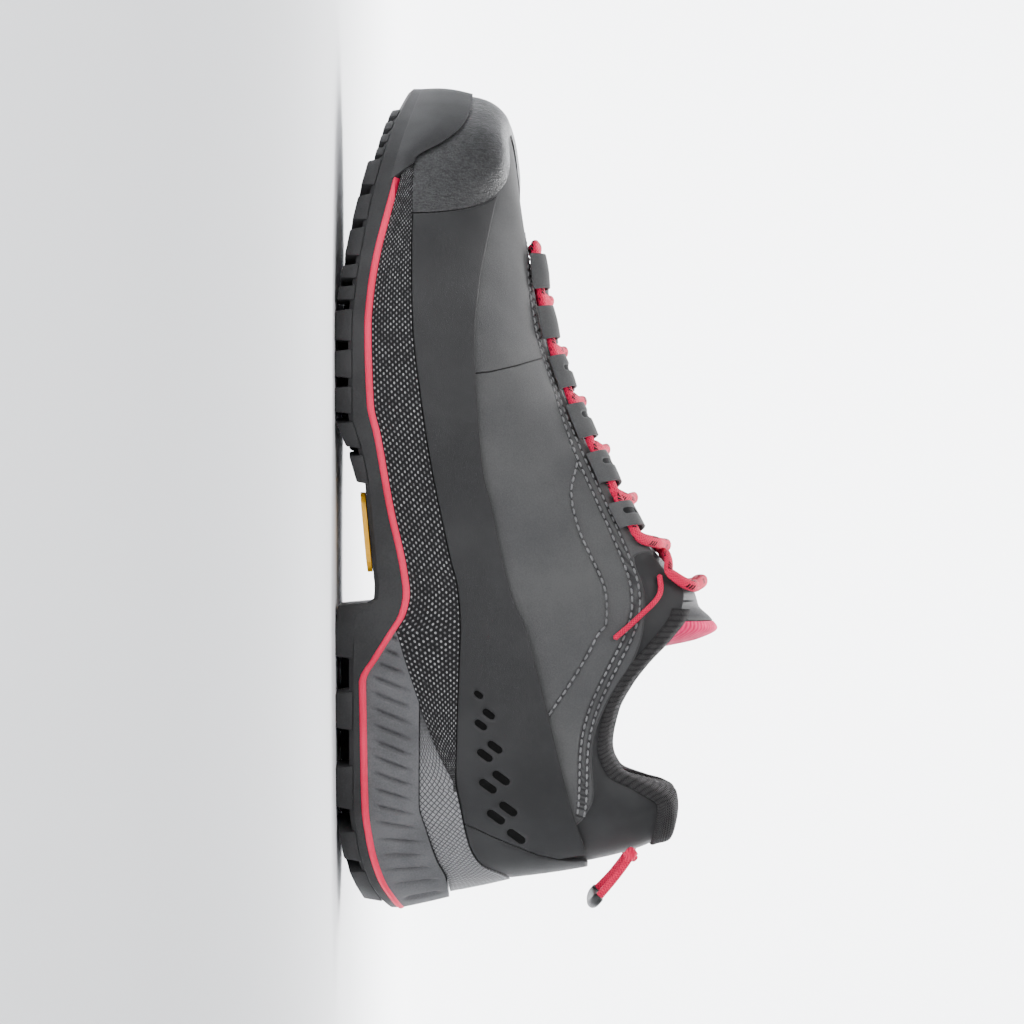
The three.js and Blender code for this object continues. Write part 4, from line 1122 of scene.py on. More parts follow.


# %% [markdown]
# The mesh on the cup is a knit with a raised pale dot in the middle of each cell, and rows of dots staggered
# like a honeycomb. A texture of round dots follows the UV map in millimetres, and each dot is lit by its own
# bump. Rubber and foam are moulded: fine noise and little gloss.


# %% Mesh, foam, rubber and stripe finishes
def mesh_finish():
    finish = Finish("sidewall_mesh", rgb("161617"), 0.9, Specular_IOR_Level=0.15)
    across, along, _ = finish.axes(finish.uv())
    u, v = across / 2.1, along / 1.25
    odd = (v - v.repeat(1.0)).repeat(2.0)
    cell_u = (u + odd * 0.5).repeat(1.0) - 0.5
    cell_v = v.repeat(1.0) - 0.5
    dot = 1 - (cell_u * cell_u * 3.2 + cell_v * cell_v * 2.2).step(0.05, 0.3)
    place = finish.place()
    vary, fibre = finish.noise(place, 0.55, 2), finish.noise(place, 5.0, 2)
    light = finish.blend(vary.step(0.35, 0.65), rgb("5a5a5b"), rgb("a0a0a1"))
    dark = finish.blend(fibre, rgb("131314"), rgb("2e2e2f"))
    finish.set(Base_Color=finish.blend(dot, dark, light), Roughness=0.95 - dot * 0.25)
    return finish.bump(dot + fibre * 0.4, 0.5, 1.0)


def moulded_finish(name, dark, light, roughness, relief, scale):
    dark, light = rgb(dark), rgb(light)
    finish = Finish(name, dark, roughness, Specular_IOR_Level=0.35)
    place = finish.place()
    cloud, fine = finish.noise(place, 0.06, 3), finish.noise(place, scale, 3, 0.6)
    finish.set(
        Base_Color=finish.blend((cloud * 0.6 + fine * 0.4).step(0.35, 0.65), dark, light),
        Roughness=fine * 0.2 + (roughness - 0.1),
    )
    return finish.bump(fine, relief, 0.8)


def crossed(across, along, pitch):
    """Two sets of slanted waves that cross, each from 0 to 1."""
    return [(way / pitch).wrap(0.5) * 2 for way in (across + along, across - along)]


def hatched_finish():
    """Small flat scales in a diamond pitch, pale on their faces, with the grooves between them painted dark as shade.
    """
    finish = Finish("stabiliser_shell", rgb("757576"), 0.5, Specular_IOR_Level=0.45)
    across, along, _ = finish.axes(finish.uv())
    one, two = crossed(across, along * 0.75, 1.9)
    edge = one.low(two)
    scale = edge.step(0.05, 0.45)
    # The grooves between the scales are painted dark as shade; the mask is the same relief that the bump uses.
    finish.set(Base_Color=finish.blend(scale, rgb("3c3c3e"), rgb("808082")), Roughness=0.62 - scale * 0.18)
    return finish.bump(edge, 0.35, 1.0)


foam = moulded_finish("wedge_foam", "4b4b4d", "5d5d5f", 0.72, 0.14, 1.8)
rubber = moulded_finish("outsole_rubber", "222223", "2f2f30", 0.6, 0.1, 1.6)
coral_foam = moulded_finish("stripe_foam", "e61a4a", "f22657", 0.6, 0.08, 3.0)
inlay_plastic = moulded_finish("inlay_plastic", "dfa016", "eeb021", 0.4, 0.05, 3.0)

# %% The mesh band on both sides, the heel wedge with its grooves, the stabiliser
MESH_START, MESH_END, WEDGE_END, CUP_END, CUP_WALL = 0.146, 0.9, 0.358, 0.248, 2.2


def mesh_low(s):
    behind = np.where(s < 0.36, seam_height(s), 0)
    toe = np.interp(s, [0.88, 0.886, 0.9, 0.91], [0, 20, 26, 30])
    return np.maximum(np.maximum(above_stripe(s), behind), toe)


mesh_cloth, mesh_arms = mesh_finish(), []
for outer in SIDES.values():
    ends = ends_at(MESH_START, MESH_END, outer)
    arm = band("mesh_arm", *ends, 260, 16, mesh_low, rim_height, cup_face, uv_size=(245, 17))
    mesh_arms.append(dress(arm, "sidewall_fabric", mesh_cloth))
    thicken(arm, CUP_WALL, 0.4, 2)
midsole = join("midsole_mesh", *mesh_arms)
smooth_shade(midsole)
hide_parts("midsole")
GROOVE_FIRST, GROOVE_PITCH, GROOVE_LAST, GROOVE_DEPTH, GROOVE_HALF = 0.012, 0.0189, 17.4, 1.5, 0.6


def groove_relief(s, z, v):
    """Short slanted grooves, each deepest in its middle."""
    lean = (z - 18) * 0.0015 * ease(s, 0.02, 0.2)
    place = (s + lean - GROOVE_FIRST) / GROOVE_PITCH
    across = np.abs(place - np.round(place)) * GROOVE_PITCH * LENGTH
    counted = (place > -0.4) & (place < GROOVE_LAST)
    ends = ease(v, 0.06, 0.3) * (1 - ease(v, 0.62, 0.95))
    return np.where(counted, GROOVE_DEPTH * np.exp(-((across / GROOVE_HALF) ** 2)) * ends, 0)


def wedge_top(s):
    return np.minimum(np.minimum(wedge_height(s), seam_height(s)), rim_height(s))


def cup_top(s):
    return np.where(s > 0.15, np.minimum(rim_height(s), seam_height(s)), rim_height(s))


def round_heel(s):
    """The two ends of a band that runs round the heel from this share of the length."""
    return float(ring_at(s, False) - 1), float(ring_at(s, True))


wedge = band(
    "heel_wedge_foam", *round_heel(WEDGE_END), 620, 22, above_stripe, wedge_top, cup_face, groove_relief, (300, 18),
)
complete(wedge, "heel_wedge", "wedge_foam", foam, 2.6, 0.35, angle=70, shade=60)
stabiliser = band(
    "heel_stabiliser_shell", *round_heel(CUP_END), 220, 14, lambda s: wedge_height(s) + GAP, cup_top,
    lambda a, z: cup_face(a, z, 3.0), uv_size=(180, 17),
)
complete(stabiliser, "heel_stabiliser", "stabiliser_shell", hatched_finish(), CUP_WALL, 0.6)

# %% [markdown]
# The stripe's ends run out to a point on both sides of the toe, so its upper line comes down to its lower
# one there. Its face bulges a little, as foam does when two harder layers press on it.


# %% The coral stripe
def stripe_face(a, z):
    s = length_share(a)
    share = (z - stripe_z(s) - GAP) / (STRIPE_HIGH - GAP)
    bow = 0.35 * (1 - (2 * share - 1) ** 2) - 0.1
    return at_height(outline_at(a, -bow), z)


STRIPE_END, STRIPE_LAP = 0.8835, 0.1


def stripe_top(s):
    return stripe_z(s) + GAP + (STRIPE_HIGH + STRIPE_LAP) * (1 - ease(s, 0.85, STRIPE_END + 0.0005))


stripe = band(
    "coral_stripe", *round_heel(STRIPE_END), 420, 6, lambda s: stripe_z(s) - STRIPE_LAP, stripe_top, stripe_face,
    uv_size=(600, 2),
)
complete(stripe, "sole_stripe", "stripe_foam", coral_foam, 3.0, 0.2, shade=60)

# %% [markdown]
# The outsole's plate is one ring from the ground side up to the stripe, and the wrap is a thicker sheet that
# climbs the toe. The lugs are blocks with bevelled edges. Each is modelled as by hand: a flat polygon at the
# foot, extruded up into the plate. Along the edge they are small and close at the forefoot for rock, and
# stand like steps at the heel to brake.


# %% The outsole's plate and its toe wrap
def plate_place(u, v):
    a = 1 - u
    s = length_share(a)
    low = outline_at(a, 1.5)
    middle = (low + outline_at((1 - a) % 1, 1.5)) / 2
    profile = [
        (0.0, at_height(middle, plate_z(s))),
        (0.3, at_height(low, plate_z(s))),
        (0.42, at_height(outline_at(a, 0.2), plate_z(s) + 1.5)),
        (0.62, at_height(outline_at(a, 0.2), stripe_z(s))),
        (0.7, at_height(outline_at(a, 4.0), stripe_z(s))),
        (1.0, at_height(middle, np.maximum(plate_z(s) + 2.5, stripe_z(s) - 1))),
    ]
    place = profile[0][1].copy()
    for (start, before), (end, after) in zip(profile, profile[1:]):
        share = np.clip((v - start) / (end - start), 0, 1)[:, None]
        place = np.where((v > start)[:, None], mix(before, after, share), place)
    return place


outsole = lay_sheet("outsole_rubber", 360, 50, plate_place, (600, 60), (True, False))
merge(outsole, 0.00005)
TOE_SIDE = [(0.872, 0), (0.876, 17), (0.886, 20.5), (0.9056, 27.5), (0.912, 30), (0.912, 90), (1.2, 90), (1.2, 0)]


def wrap_place(u, v):
    a = mix(*WRAP_ENDS, u)
    each, back = np.unique(a, return_inverse=True)
    s = length_share(each)
    low = at_height(outline_at(each, 0.2), stripe_z(s) - 1.0)[back]
    rim = rim_point(each, WRAP_WALL)[back]
    return mix(low, rim, v[:, None]) + outward_of(a) * (0.9 * np.sin(np.pi * v))[:, None]


wrap = lay_sheet("toe_wrap", 200, 40, wrap_place, (200, 30))
points = read_points(wrap) / MM
trim(wrap, region_distance(points[:, [0, 2]], from_side(TOE_SIDE)))
thicken(wrap, 2.4, 0.7, 3)


# %% The lugs and studs
def root(s):
    return plate_z(s) + 1.2


def block(corners, shrink, foot_z):
    """A block on the ground side: a polygon of corners in the plane, with its foot a little smaller."""
    corners = np.asarray(corners, float)
    middle = corners.mean(axis=0)
    reach = np.linalg.norm(corners - middle, axis=1).max()
    foot = mix(corners, middle, shrink / reach)
    deselect()
    bpy.ops.mesh.primitive_circle_add(vertices=len(corners), radius=1, fill_type="NGON")
    piece = bpy.context.object
    below = np.column_stack([foot, foot_z(share_of(foot[:, 0]))])
    write_points(piece, below * MM)
    with editing(piece):
        bpy.ops.mesh.extrude_region_move(TRANSFORM_OT_translate={"value": (0, 0, MM)})
    points = read_points(piece) / MM
    points[len(corners) :] = np.column_stack([corners, root(share_of(corners[:, 0]))])
    write_points(piece, points * MM)
    with editing(piece):
        bpy.ops.mesh.normals_make_consistent(inside=False)
    round_edges(piece, 0.55, 2, 35)
    finish_modifiers(piece)
    return piece


def edge_blocks(starts, ends, width, shrink, foot_z):
    """Blocks along both edges, between two shares of the length each."""
    for s, end in zip(starts, ends):
        for outer in SIDES.values():
            where = np.array([ring_at(share, outer) for share in (s, (s + end) / 2, end)])
            corners = np.vstack([outline_at(where, 0.1), outline_at(where[::-1], width)])[:, :2]
            blocks.append(block(corners, shrink, foot_z))


def centre_blocks(ends, starts, inner, outer):
    """Blocks in the middle that fill the gaps from one lug's end to the next lug's start."""
    for end, s in zip(ends, starts):
        low, high = x_of(end) - 2, x_of(s) + 2
        corners = [(low, inner), (high, inner), (high, outer), (low, outer)]
        blocks.append(block(corners, 0.8, lambda share: tread_z(share) + 0.8))


TOE_RIBS = table("s end", [[.909, .92], [.926, .937], [.943, .954], [.96, .97]])
STUD_RADIUS, STUD_SIDES, HEEL_LUGS, LUG_WIDTH, RIB_WIDTH = 5.5, 6, 5, 15, 9
STUDS = [(HEEL_OVERHANG / LENGTH, 0), (0.23, 0)]
STUDS += [(s, y) for s in (0.57, 0.63, 0.69, 0.75, 0.81, 0.87) for y in (-0.29, 0.17)]
blocks = []
edge_blocks(*LUGS.values(), LUG_WIDTH, 1.2, tread_z)
centre_blocks(LUGS["end"][: HEEL_LUGS - 1], LUGS["s"][1:HEEL_LUGS], -9, 9)
centre_blocks(LUGS["end"][HEEL_LUGS:-1], LUGS["s"][HEEL_LUGS + 1 :], -13, 7)
edge_blocks(*TOE_RIBS.values(), RIB_WIDTH, 0.5, lambda share: plate_z(share) - 1.5)
for s, y in STUDS:
    angle = (np.arange(STUD_SIDES) + 0.5) * 2 * math.pi / STUD_SIDES
    corners = [x_of(s), y * half_width(s)] + STUD_RADIUS * np.stack([np.cos(angle), np.sin(angle)], axis=1)
    blocks.append(block(corners, 1.2, tread_z))
join("outsole_rubber", outsole, wrap, *blocks)
dress(outsole, "outsole_rubber", rubber)
smooth_shade(outsole, 35)
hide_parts("outsole")
paint(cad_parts["arch_inlay"], inlay_plastic)
print("outsole:", len(outsole.data.polygons), "faces with", len(blocks), "lugs and studs")

# %% [markdown]
# ## The collar, the tongue and the insole
#
# The collar is a padded ring of dark knit that rolls over the upper's top edge and swells inside it. Its
# section is a closed loop of twelve places, so the sheet's second direction goes round that loop. Knit is
# drawn as rows of small leaning stitches. The tongue is a padded sheet under the laces: woven in front,
# with a smooth patch near its top and a pink binding that is sewn on with a zigzag.

# %% The collar's section at each place round the top edge
COLLAR_PADDING, HEEL_PADDING, COLLAR_DEPTH, COLLAR_FRONT, FRONT_PADDING = 7, 11, 26, 0.365, 3
HEEL_ROLL, SIDE_ROLL, SPINE_BACK, BAND_DEPTH = 4, 1.5, 0.17, 3.2
LINER = -(WALL + 2 * GAP)


def padding_at(s):
    back = mix(HEEL_PADDING, COLLAR_PADDING, ease(s, 0.1, 0.2))
    return mix(back, FRONT_PADDING, ease(s, 0.27, COLLAR_FRONT))


def inward_at(a):
    edge = top_point(a)
    s = share_of(edge[..., 0])
    middle = (top_of["lateral"](s) + top_of["medial"](s)) / 2
    spine = np.maximum(s, SPINE_BACK)
    return unit(stack(x_of(spine), middle * half_width(spine), edge[..., 2]) - edge)


def raised(place, up):
    made = place.copy()
    made[..., 2] += up
    return made


def collar_section(a):
    edge, inward = top_point(a), inward_at(a)
    s = share_of(edge[:, 0])
    padding, roll = padding_at(s), mix(HEEL_ROLL, SIDE_ROLL, ease(s, 0.1, 0.17))

    def wall(depth, offset=LINER):
        return form_at(a, depth_to(a, depth), offset)

    def place(reach, lift):
        return raised(edge + inward * np.broadcast_to(reach, s.shape)[:, None], lift)

    def pad(depth, share):
        return wall(depth) + inward * (padding * share)[:, None]

    return np.stack([
        wall(COLLAR_DEPTH), wall(COLLAR_DEPTH * 0.5), wall(2 * WALL),
        wall(BAND_DEPTH, 0.2), wall(BAND_DEPTH * 0.45, 0.95), place(-0.2, roll),
        place(padding * 0.35 - LINER, roll + 1.4), place(padding * 0.8 - LINER, roll * 0.7),
        place(padding - LINER, -1.5), pad(2 * WALL + 3, 1.02), pad(COLLAR_DEPTH * 0.5, 0.85),
        pad(COLLAR_DEPTH, 0.25),
    ], axis=1)


def round_loop(points, marks):
    """A smooth closed loop through the middle axis of points, read at marks between 0 and 1."""
    count = points.shape[1]
    place = (marks % 1) * count
    i = np.floor(place).astype(int)
    u = (place - i)[:, None]
    row = np.arange(len(points))
    p0, p1, p2, p3 = (points[row, (i + k) % count] for k in (-1, 0, 1, 2))
    return p1 + 0.5 * u * (p2 - p0 + u * (2 * p0 - 5 * p1 + 4 * p2 - p3 + u * (3 * p1 - p0 - 3 * p2 + p3)))


def collar_place(u, v):
    front = float(top_turn(COLLAR_FRONT) / 2)
    each, back = np.unique(np.round(u, 6), return_inverse=True)
    sections = collar_section(mix(-front, front, each) % 1)
    return round_loop(sections[back], 1 - v)


# %% Knit, tongue weave and insole cloth
def knit_finish():
    finish = Finish("collar_knit", rgb("1a191a"), 0.95, Sheen_Weight=0.06, Sheen_Roughness=0.5, Specular_IOR_Level=0.15)
    across, along, _ = finish.axes(finish.uv())
    column = (across / 1.9).repeat(1.0) - 0.5
    lean = (along / 1.5 + abs(column) * 1.1).repeat(1.0) - 0.5
    yarn = 1 - (lean * lean * 3.4 + column * column * 1.2).step(0.1, 0.75)
    place = finish.place()
    fuzz, vary = finish.noise(place, 3.5, 3, 0.7), finish.noise(place, 0.5, 2)
    tone = yarn * 0.55 + fuzz * 0.35 + vary * 0.25
    finish.set(Base_Color=finish.blend(tone.step(0.45, 1.0), rgb("080708"), rgb("4c4a4b")))
    return finish.bump(yarn * 0.85 + fuzz * 0.3, 1.1, 1.0)


def tongue_finish():
    finish = Finish("tongue_cloth", rgb("1c1c1d"), 0.9, Specular_IOR_Level=0.15)
    across, along, _ = finish.axes(finish.uv())
    pitch = 1.15
    one, two = crossed(across, along, pitch)
    thread = one.step(0.15, 0.6) * two.step(0.15, 0.6)
    wide = ((across + along) / (pitch * 2)).repeat(1.0) > 0.5
    weave = finish.blend(thread, rgb("0d0d0e"), rgb("3c3c3d"))
    weave = finish.blend(wide * thread * 0.5, weave, rgb("1f1f20"))
    patch = finish.attribute("patch").step(-0.2, 0.2)
    rib = finish.attribute("rib")
    side = rib.step(-0.2, 0.2) * (1 - patch)
    ribs = (rib / 2.6).wrap(0.5) * 2
    weave = finish.blend(side, weave, rgb("222223"))
    place = finish.place()
    grain = finish.noise(place, 3.0, 3, 0.6)
    smooth_patch = finish.blend(grain, rgb("242426"), rgb("2c2c2e"))
    finish.set(Base_Color=finish.blend(patch, weave, smooth_patch), Roughness=0.92 - patch * 0.35)
    height = thread * (1 - patch) * (1 - side) * 0.35 + ribs * side * 0.6 + patch * (grain * 0.1 + 0.5)
    return finish.bump(height, 1.0, 0.9)


def binding_finish():
    finish = Finish("binding_cloth", rgb("e0185c"), 0.75, Sheen_Weight=0.05, Specular_IOR_Level=0.2)
    ribs = (finish.axes(finish.uv())[0] * 5.2).sine() * 0.5 + 0.5
    vary = finish.noise(finish.place(), 0.35, 2)
    finish.set(Base_Color=finish.blend(vary.step(0.3, 0.7), rgb("d81257"), rgb("ee2069")))
    return finish.bump(ribs + vary, 0.16, 0.8)


# The printed patches of the insole lie between these lines of the plan, in mm.
PATCH_SIDE, PATCH_BACK, PATCH_ROUND, PATCH_CUT, PATCH_LEAN, PATCH_FRONT = 13.3, 10.4, 3.0, 31.2, 0.226, 92


def insole_finish():
    finish = Finish("insole_cloth", rgb("7b7b7b"), 0.95, Sheen_Weight=0.2, Specular_IOR_Level=0.2)
    place = finish.place()
    x, y, _ = finish.axes(place)
    weave = (x * 5.6).sine() * (y * 5.6).sine()
    knit = finish.noise(finish.place(stretch=(1, 1.6, 1)), 1.1, 2)
    cloth = finish.blend((knit * 0.6 + weave * 0.2 + 0.2).step(0.3, 0.7), rgb("6c6c6d"), rgb("8f8f90"))
    line = x - y * PATCH_LEAN - PATCH_CUT
    past_side = (abs(y) - (PATCH_SIDE - PATCH_ROUND)).high(0.0)
    past_back = (PATCH_BACK + PATCH_ROUND - x).high(0.0)
    inside = (past_side * past_side + past_back * past_back < PATCH_ROUND**2) * (x < PATCH_FRONT)
    yellow = inside * line.step(-0.15, 0.15)
    one, two = crossed(x, y, 1.7)
    dots = one * two
    mesh = finish.blend(dots.step(0.2, 0.75), rgb("1c1d20"), rgb("77787c"))
    colour = finish.blend(inside, cloth, mesh)
    gold = finish.blend(knit.step(0.2, 0.8), rgb("dd9a1c"), rgb("efb32f"))
    finish.set(Base_Color=finish.blend(yellow, colour, gold), Roughness=0.95 - yellow * 0.25)
    return finish.bump(weave * 0.3 + knit * 0.5 + dots * inside * (1 - yellow), 0.3, 0.9)


# %% The collar
def close_ends(piece):
    """Fills the open ends of a tube."""
    others = dict.fromkeys(("use_wire", "use_multi_face", "use_non_contiguous", "use_verts"), False)
    with editing(piece):
        bpy.ops.mesh.select_all(action="DESELECT")
        bpy.ops.mesh.select_mode(type="EDGE")
        bpy.ops.mesh.select_non_manifold(extend=False, use_boundary=True, **others)
        bpy.ops.mesh.fill_holes(sides=0)
        bpy.ops.mesh.select_mode(type="VERT")
        bpy.ops.mesh.select_all(action="SELECT")
        bpy.ops.mesh.normals_make_consistent(inside=False)


collar = lay_sheet("collar_padding", 240, 60, collar_place, (270, 100), (False, True))
close_ends(collar)
dress(collar, "collar_knit", knit_finish())
smooth_shade(collar, 60)
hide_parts("collar")

# %% The tongue's face, its flaps and its binding
TONGUE_WALL, TONGUE_OVERLAP, TONGUE_REACH, BINDING_START = 4.05, 9, 1.9, 0.35
tongue_of = {name: smooth(TONGUE, name) for name in ("rise", "lift", "flap")}
TONGUE_END, TONGUE_FRONT = TONGUE["s"][0], TONGUE["s"][-1]


def inside_collar(s):
    return np.where(s < COLLAR_FRONT + 0.01, padding_at(s) + 6 * GAP, 0)


def tongue_rim(s, outer, depth=None):
    a = top_ring_at(s, outer)
    t = np.ones(np.shape(s)) if depth is None else depth_to(a, depth)
    place = form_at(a, t, LINER) + inward_at(a) * inside_collar(s)[..., None]
    return raised(place, CROWN * tongue_of["lift"](s))


def tongue_face(s, u):
    """A place on the upper face: u is -1 at the outer rim and 1 at the inner one, and past them under the upper."""
    s, u = np.broadcast_arrays(np.asarray(s, float), np.asarray(u, float))
    flat = np.clip(u, -1, 1)
    lateral, medial = tongue_rim(s, True), tongue_rim(s, False)
    place = mix(lateral, medial, ((flat + 1) / 2)[..., None])
    place = raised(place, (CROWN * tongue_of["rise"](s) + WALL * 0.6) * (1 - flat**2))
    reach = np.clip(np.abs(u) - 1, 0, 1)
    depth = TONGUE_OVERLAP * tongue_of["flap"](s) * reach + WALL
    for outer, sign in ((True, -1), (False, 1)):
        under = tongue_rim(s, outer, depth)
        share = ease(reach, 0, 0.25)[..., None]
        place = np.where((u * sign > 1)[..., None], mix(place, under, share), place)
    return place


def tongue_sheet(name, start, end, columns, rows, values=None):
    def place(u, v):
        return tongue_face(mix(start, end, v), mix(-TONGUE_REACH, TONGUE_REACH, u))

    return lay_sheet(name, columns, rows, place, (70, (end - start) * LENGTH), values=values)


def patch_end(y):
    """Where the smooth patch ends in a soft arc across the tongue."""
    return x_of(0.461) - ((y + 1) / 6.2) ** 2 * 1.6


def tongue_values(u, v, points):
    x, y = points[:, 0], points[:, 1]
    return {"patch": patch_end(y) - x, "rib": -(y + 21.5 - (x - 100) * 0.02)}


tongue = tongue_sheet("tongue_padding", BINDING_START, TONGUE_FRONT, 72, 150, tongue_values)
complete(tongue, "tongue", "tongue_mesh", tongue_finish(), TONGUE_WALL, 0.8, 3)
binding = tongue_sheet("tongue_binding_tape", TONGUE_END, BINDING_START - GAP / LENGTH, 72, 22)
complete(binding, "tongue_binding", "binding_cloth", binding_finish(), TONGUE_WALL, 1.5, 4)

# %% The insole, dished a little toward its middle
INSOLE_THICKNESS, INSOLE_PAD, INSOLE_DISH, INSOLE_END = 4, 2.4, 1.2, 0.002


def insole_edge(around):
    """Where the insole meets the wall, at these places around the form."""
    each, back = np.unique(np.round(around, 6), return_inverse=True)
    z = feather_point(each)[:, 2] + INSOLE_THICKNESS
    return at_height(form_at(each, climb_to(each, z), LINER), z)[back]


def insole_place(u, v):
    along = mix(INSOLE_END, 0.5 - INSOLE_END, u)
    place = mix(insole_edge(1 - along), insole_edge(along), v[:, None])
    return raised(place, -INSOLE_DISH * ease(np.minimum(v, 1 - v), 0.0, 0.5))


insole = lay_sheet("insole_pad", 200, 56, insole_place, (270, 90))
complete(insole, "insole", "insole_cloth", insole_finish(), INSOLE_PAD, 0.5)
for piece in (tongue, collar, insole):
    print(piece.name, "has", len(piece.data.polygons), "faces")

# %% [markdown]
# ## Lace loops, lace and cords
#
# The laces run through folded nubuck strips along the throat. Each strip leaves the eyestay, arches over the
# lace and goes back in at the throat's edge, square to that edge. The lace is a flat braid, coral with dark
# flecks. It crosses the tongue between the loops, so its route is worked out from the loops, and a tube is
# then swept along it with its flat side kept on the foot.

# %% Places square to the throat's edge
LOOP_WIDTH, LOOP_EDGE, LOOP_RISE, LOOP_STRAP = 9, 0.4, 4.8, 1.0


def climb_of(a, inward):
    power = 2 / feather_of["full"](length_share(a))
    return 2 / np.pi * np.arccos((1 - np.clip(inward, 0, 1)) ** (1 / power))


def form_under(target, a, inward):
    """The place on the form under a point seen from above, found by small steps."""
    step = 0.002
    for _ in range(5):
        here = form(a, climb_of(a, inward))
        round_ = (form(a + step, climb_of(a + step, inward)) - here) / step
        climb = (form(a, climb_of(a, inward - step)) - here) / -step
        miss = target - here
        size = round_[..., 0] * climb[..., 1] - round_[..., 1] * climb[..., 0]
        a = a + (miss[..., 0] * climb[..., 1] - miss[..., 1] * climb[..., 0]) / size
        inward = np.clip(inward + (round_[..., 0] * miss[..., 1] - round_[..., 1] * miss[..., 0]) / size, 0.3, 1)
    return a, inward


def near_edge(s, outer, depth, offset):
    """A place square out from the top edge by a depth, and then off the form."""
    s, depth = np.broadcast_arrays(np.asarray(s, float), np.asarray(depth, float))
    a = top_ring_at(s, outer)
    edge = top_point(a)
    along = unit(at_height(top_point(a + 0.002) - top_point(a - 0.002), 0))
    out = stack(-along[..., 1], along[..., 0], 0)
    reach, found, inward = depth * 0.6, a, np.full(s.shape, 0.9)
    for _ in range(4):
        found, inward = form_under(edge + out * reach[..., None], found, np.minimum(inward, 0.98))
        distance = np.linalg.norm(form(found, climb_of(found, inward)) - edge, axis=-1)
        reach = reach * np.clip(depth / np.maximum(distance, 0.05), 0.5, 2)
    return form_at(found, climb_of(found, inward), offset)


# %% The nubuck strips, with a slot in the four that are highest
def strip_finish():
    finish, suede, _, height = nap_of("nubuck_strip")
    # Inside its slot the strip is painted dark as shade in the opening.
    finish.set(Base_Color=finish.blend(finish.attribute("slot").step(-0.15, 0.15), suede, rgb("161617")))
    return finish.bump(height, 0.16, 0.8)


strip = strip_finish()
STRIP_SLOTS = {2: 0.6457, 3: 0.589, 4: 0.5305, 5: 0.473}
SLOT_HALF, SLOT_REACH, NO_SLOT, WAIST, SLOT_DEEP = 0.95, 2.3, -5.0, 0.35, 0.9


def make_loop(number, side):
    start, end = LOOPS["s"][number], LOOPS["end"][number]

    def slot_of(u, v):
        if number not in STRIP_SLOTS:
            return np.full(u.shape, NO_SLOT)
        along = (mix(start, end, u) - STRIP_SLOTS[number]) * LENGTH
        return SLOT_HALF - np.hypot(along, np.maximum(np.abs(v - 0.52) * 13 - SLOT_REACH, 0))

    def place(u, v):
        rise = np.maximum(np.sin(np.pi * v), 0)
        height = GAP + LOOP_STRAP + LOOP_RISE * rise**0.6 + WAIST * (np.sin(np.pi * u) - 1) * rise
        height = height - SLOT_DEEP * ease(slot_of(u, v), -0.7, 0.5)
        depth = mix(LOOP_WIDTH + LOOP_EDGE, LOOP_EDGE, 1 - v if SIDES[side] else v)
        return near_edge(mix(start, end, u), SIDES[side], depth, height)

    piece = lay_sheet(
        f"lace_strip_{side}_{number + 1}", 26, 34, place, (11, 14),
        values=lambda u, v, points: {"slot": slot_of(u, v)},
    )
    return complete(piece, f"lace_loop_{side}_{number + 1}", "nubuck", strip, LOOP_STRAP, 0.4)


strips = [make_loop(number, side) for number in range(len(LOOPS["s"])) for side in SIDES]
print("strips:", len(strips), "of", len(strips[0].data.polygons), "faces")


# %% Helper: a tube swept along a route
def through(points, step=0.8):
    """A smooth route through its points, with places a step apart. The curve's pace follows the root of each gap."""
    points = np.asarray(points, float)
    ends = np.vstack([2 * points[0] - points[1], points, 2 * points[-1] - points[-2]])
    out = []
    for p0, p1, p2, p3 in zip(ends, ends[1:], ends[2:], ends[3:]):
        d0, d1, d2 = (max(np.linalg.norm(b - a) ** 0.5, 1e-3) for a, b in ((p0, p1), (p1, p2), (p2, p3)))
        start = ((p1 - p0) / d0 - (p2 - p0) / (d0 + d1) + (p2 - p1) / d1) * d1
        end = ((p2 - p1) / d1 - (p3 - p1) / (d1 + d2) + (p3 - p2) / d2) * d1
        u = np.linspace(0, 1, 12, endpoint=False)[:, None]
        rise = p2 - p1
        out.append(p1 + u * (start + u * (3 * rise - 2 * start - end + u * (start + end - 2 * rise))))
    return densely(np.vstack([*out, points[-1:]]), step)


def length_of(route):
    return float(np.linalg.norm(np.diff(route, axis=0), axis=1).sum())


def away_from_foot(route):
    return unit(stack(0, route[:, 1] / 34, 1))


def sweep(name, route, wide, thick, sides=14, facing=away_from_foot, taper=0.0):
    """A tube of an oval section, wide across and thick along facing."""
    route = np.asarray(route, float)
    along = unit(np.gradient(route, axis=0))
    lift = facing(route)
    lift = unit(lift - along * (lift * along).sum(axis=1)[:, None])
    across = np.cross(along, lift)
    run = np.concatenate([[0], np.cumsum(np.linalg.norm(np.diff(route, axis=0), axis=1))])
    last = len(route) - 1

    def place(u, v):
        i = np.round(u * last).astype(int)
        angle = -v * 2 * np.pi
        ends = np.minimum(run[i], run[-1] - run[i])
        size = np.where(ends < taper, np.sqrt(np.clip(ends / max(taper, 1e-6), 0.02, 1)), 1)[:, None]
        ring_ = across[i] * (np.cos(angle) * wide / 2)[:, None] + lift[i] * (np.sin(angle) * thick / 2)[:, None]
        return route[i] + ring_ * size

    piece = lay_sheet(name, last, sides, place, (run[-1], 1), (False, True))
    close_ends(piece)
    smooth_shade(piece, 60)
    return piece


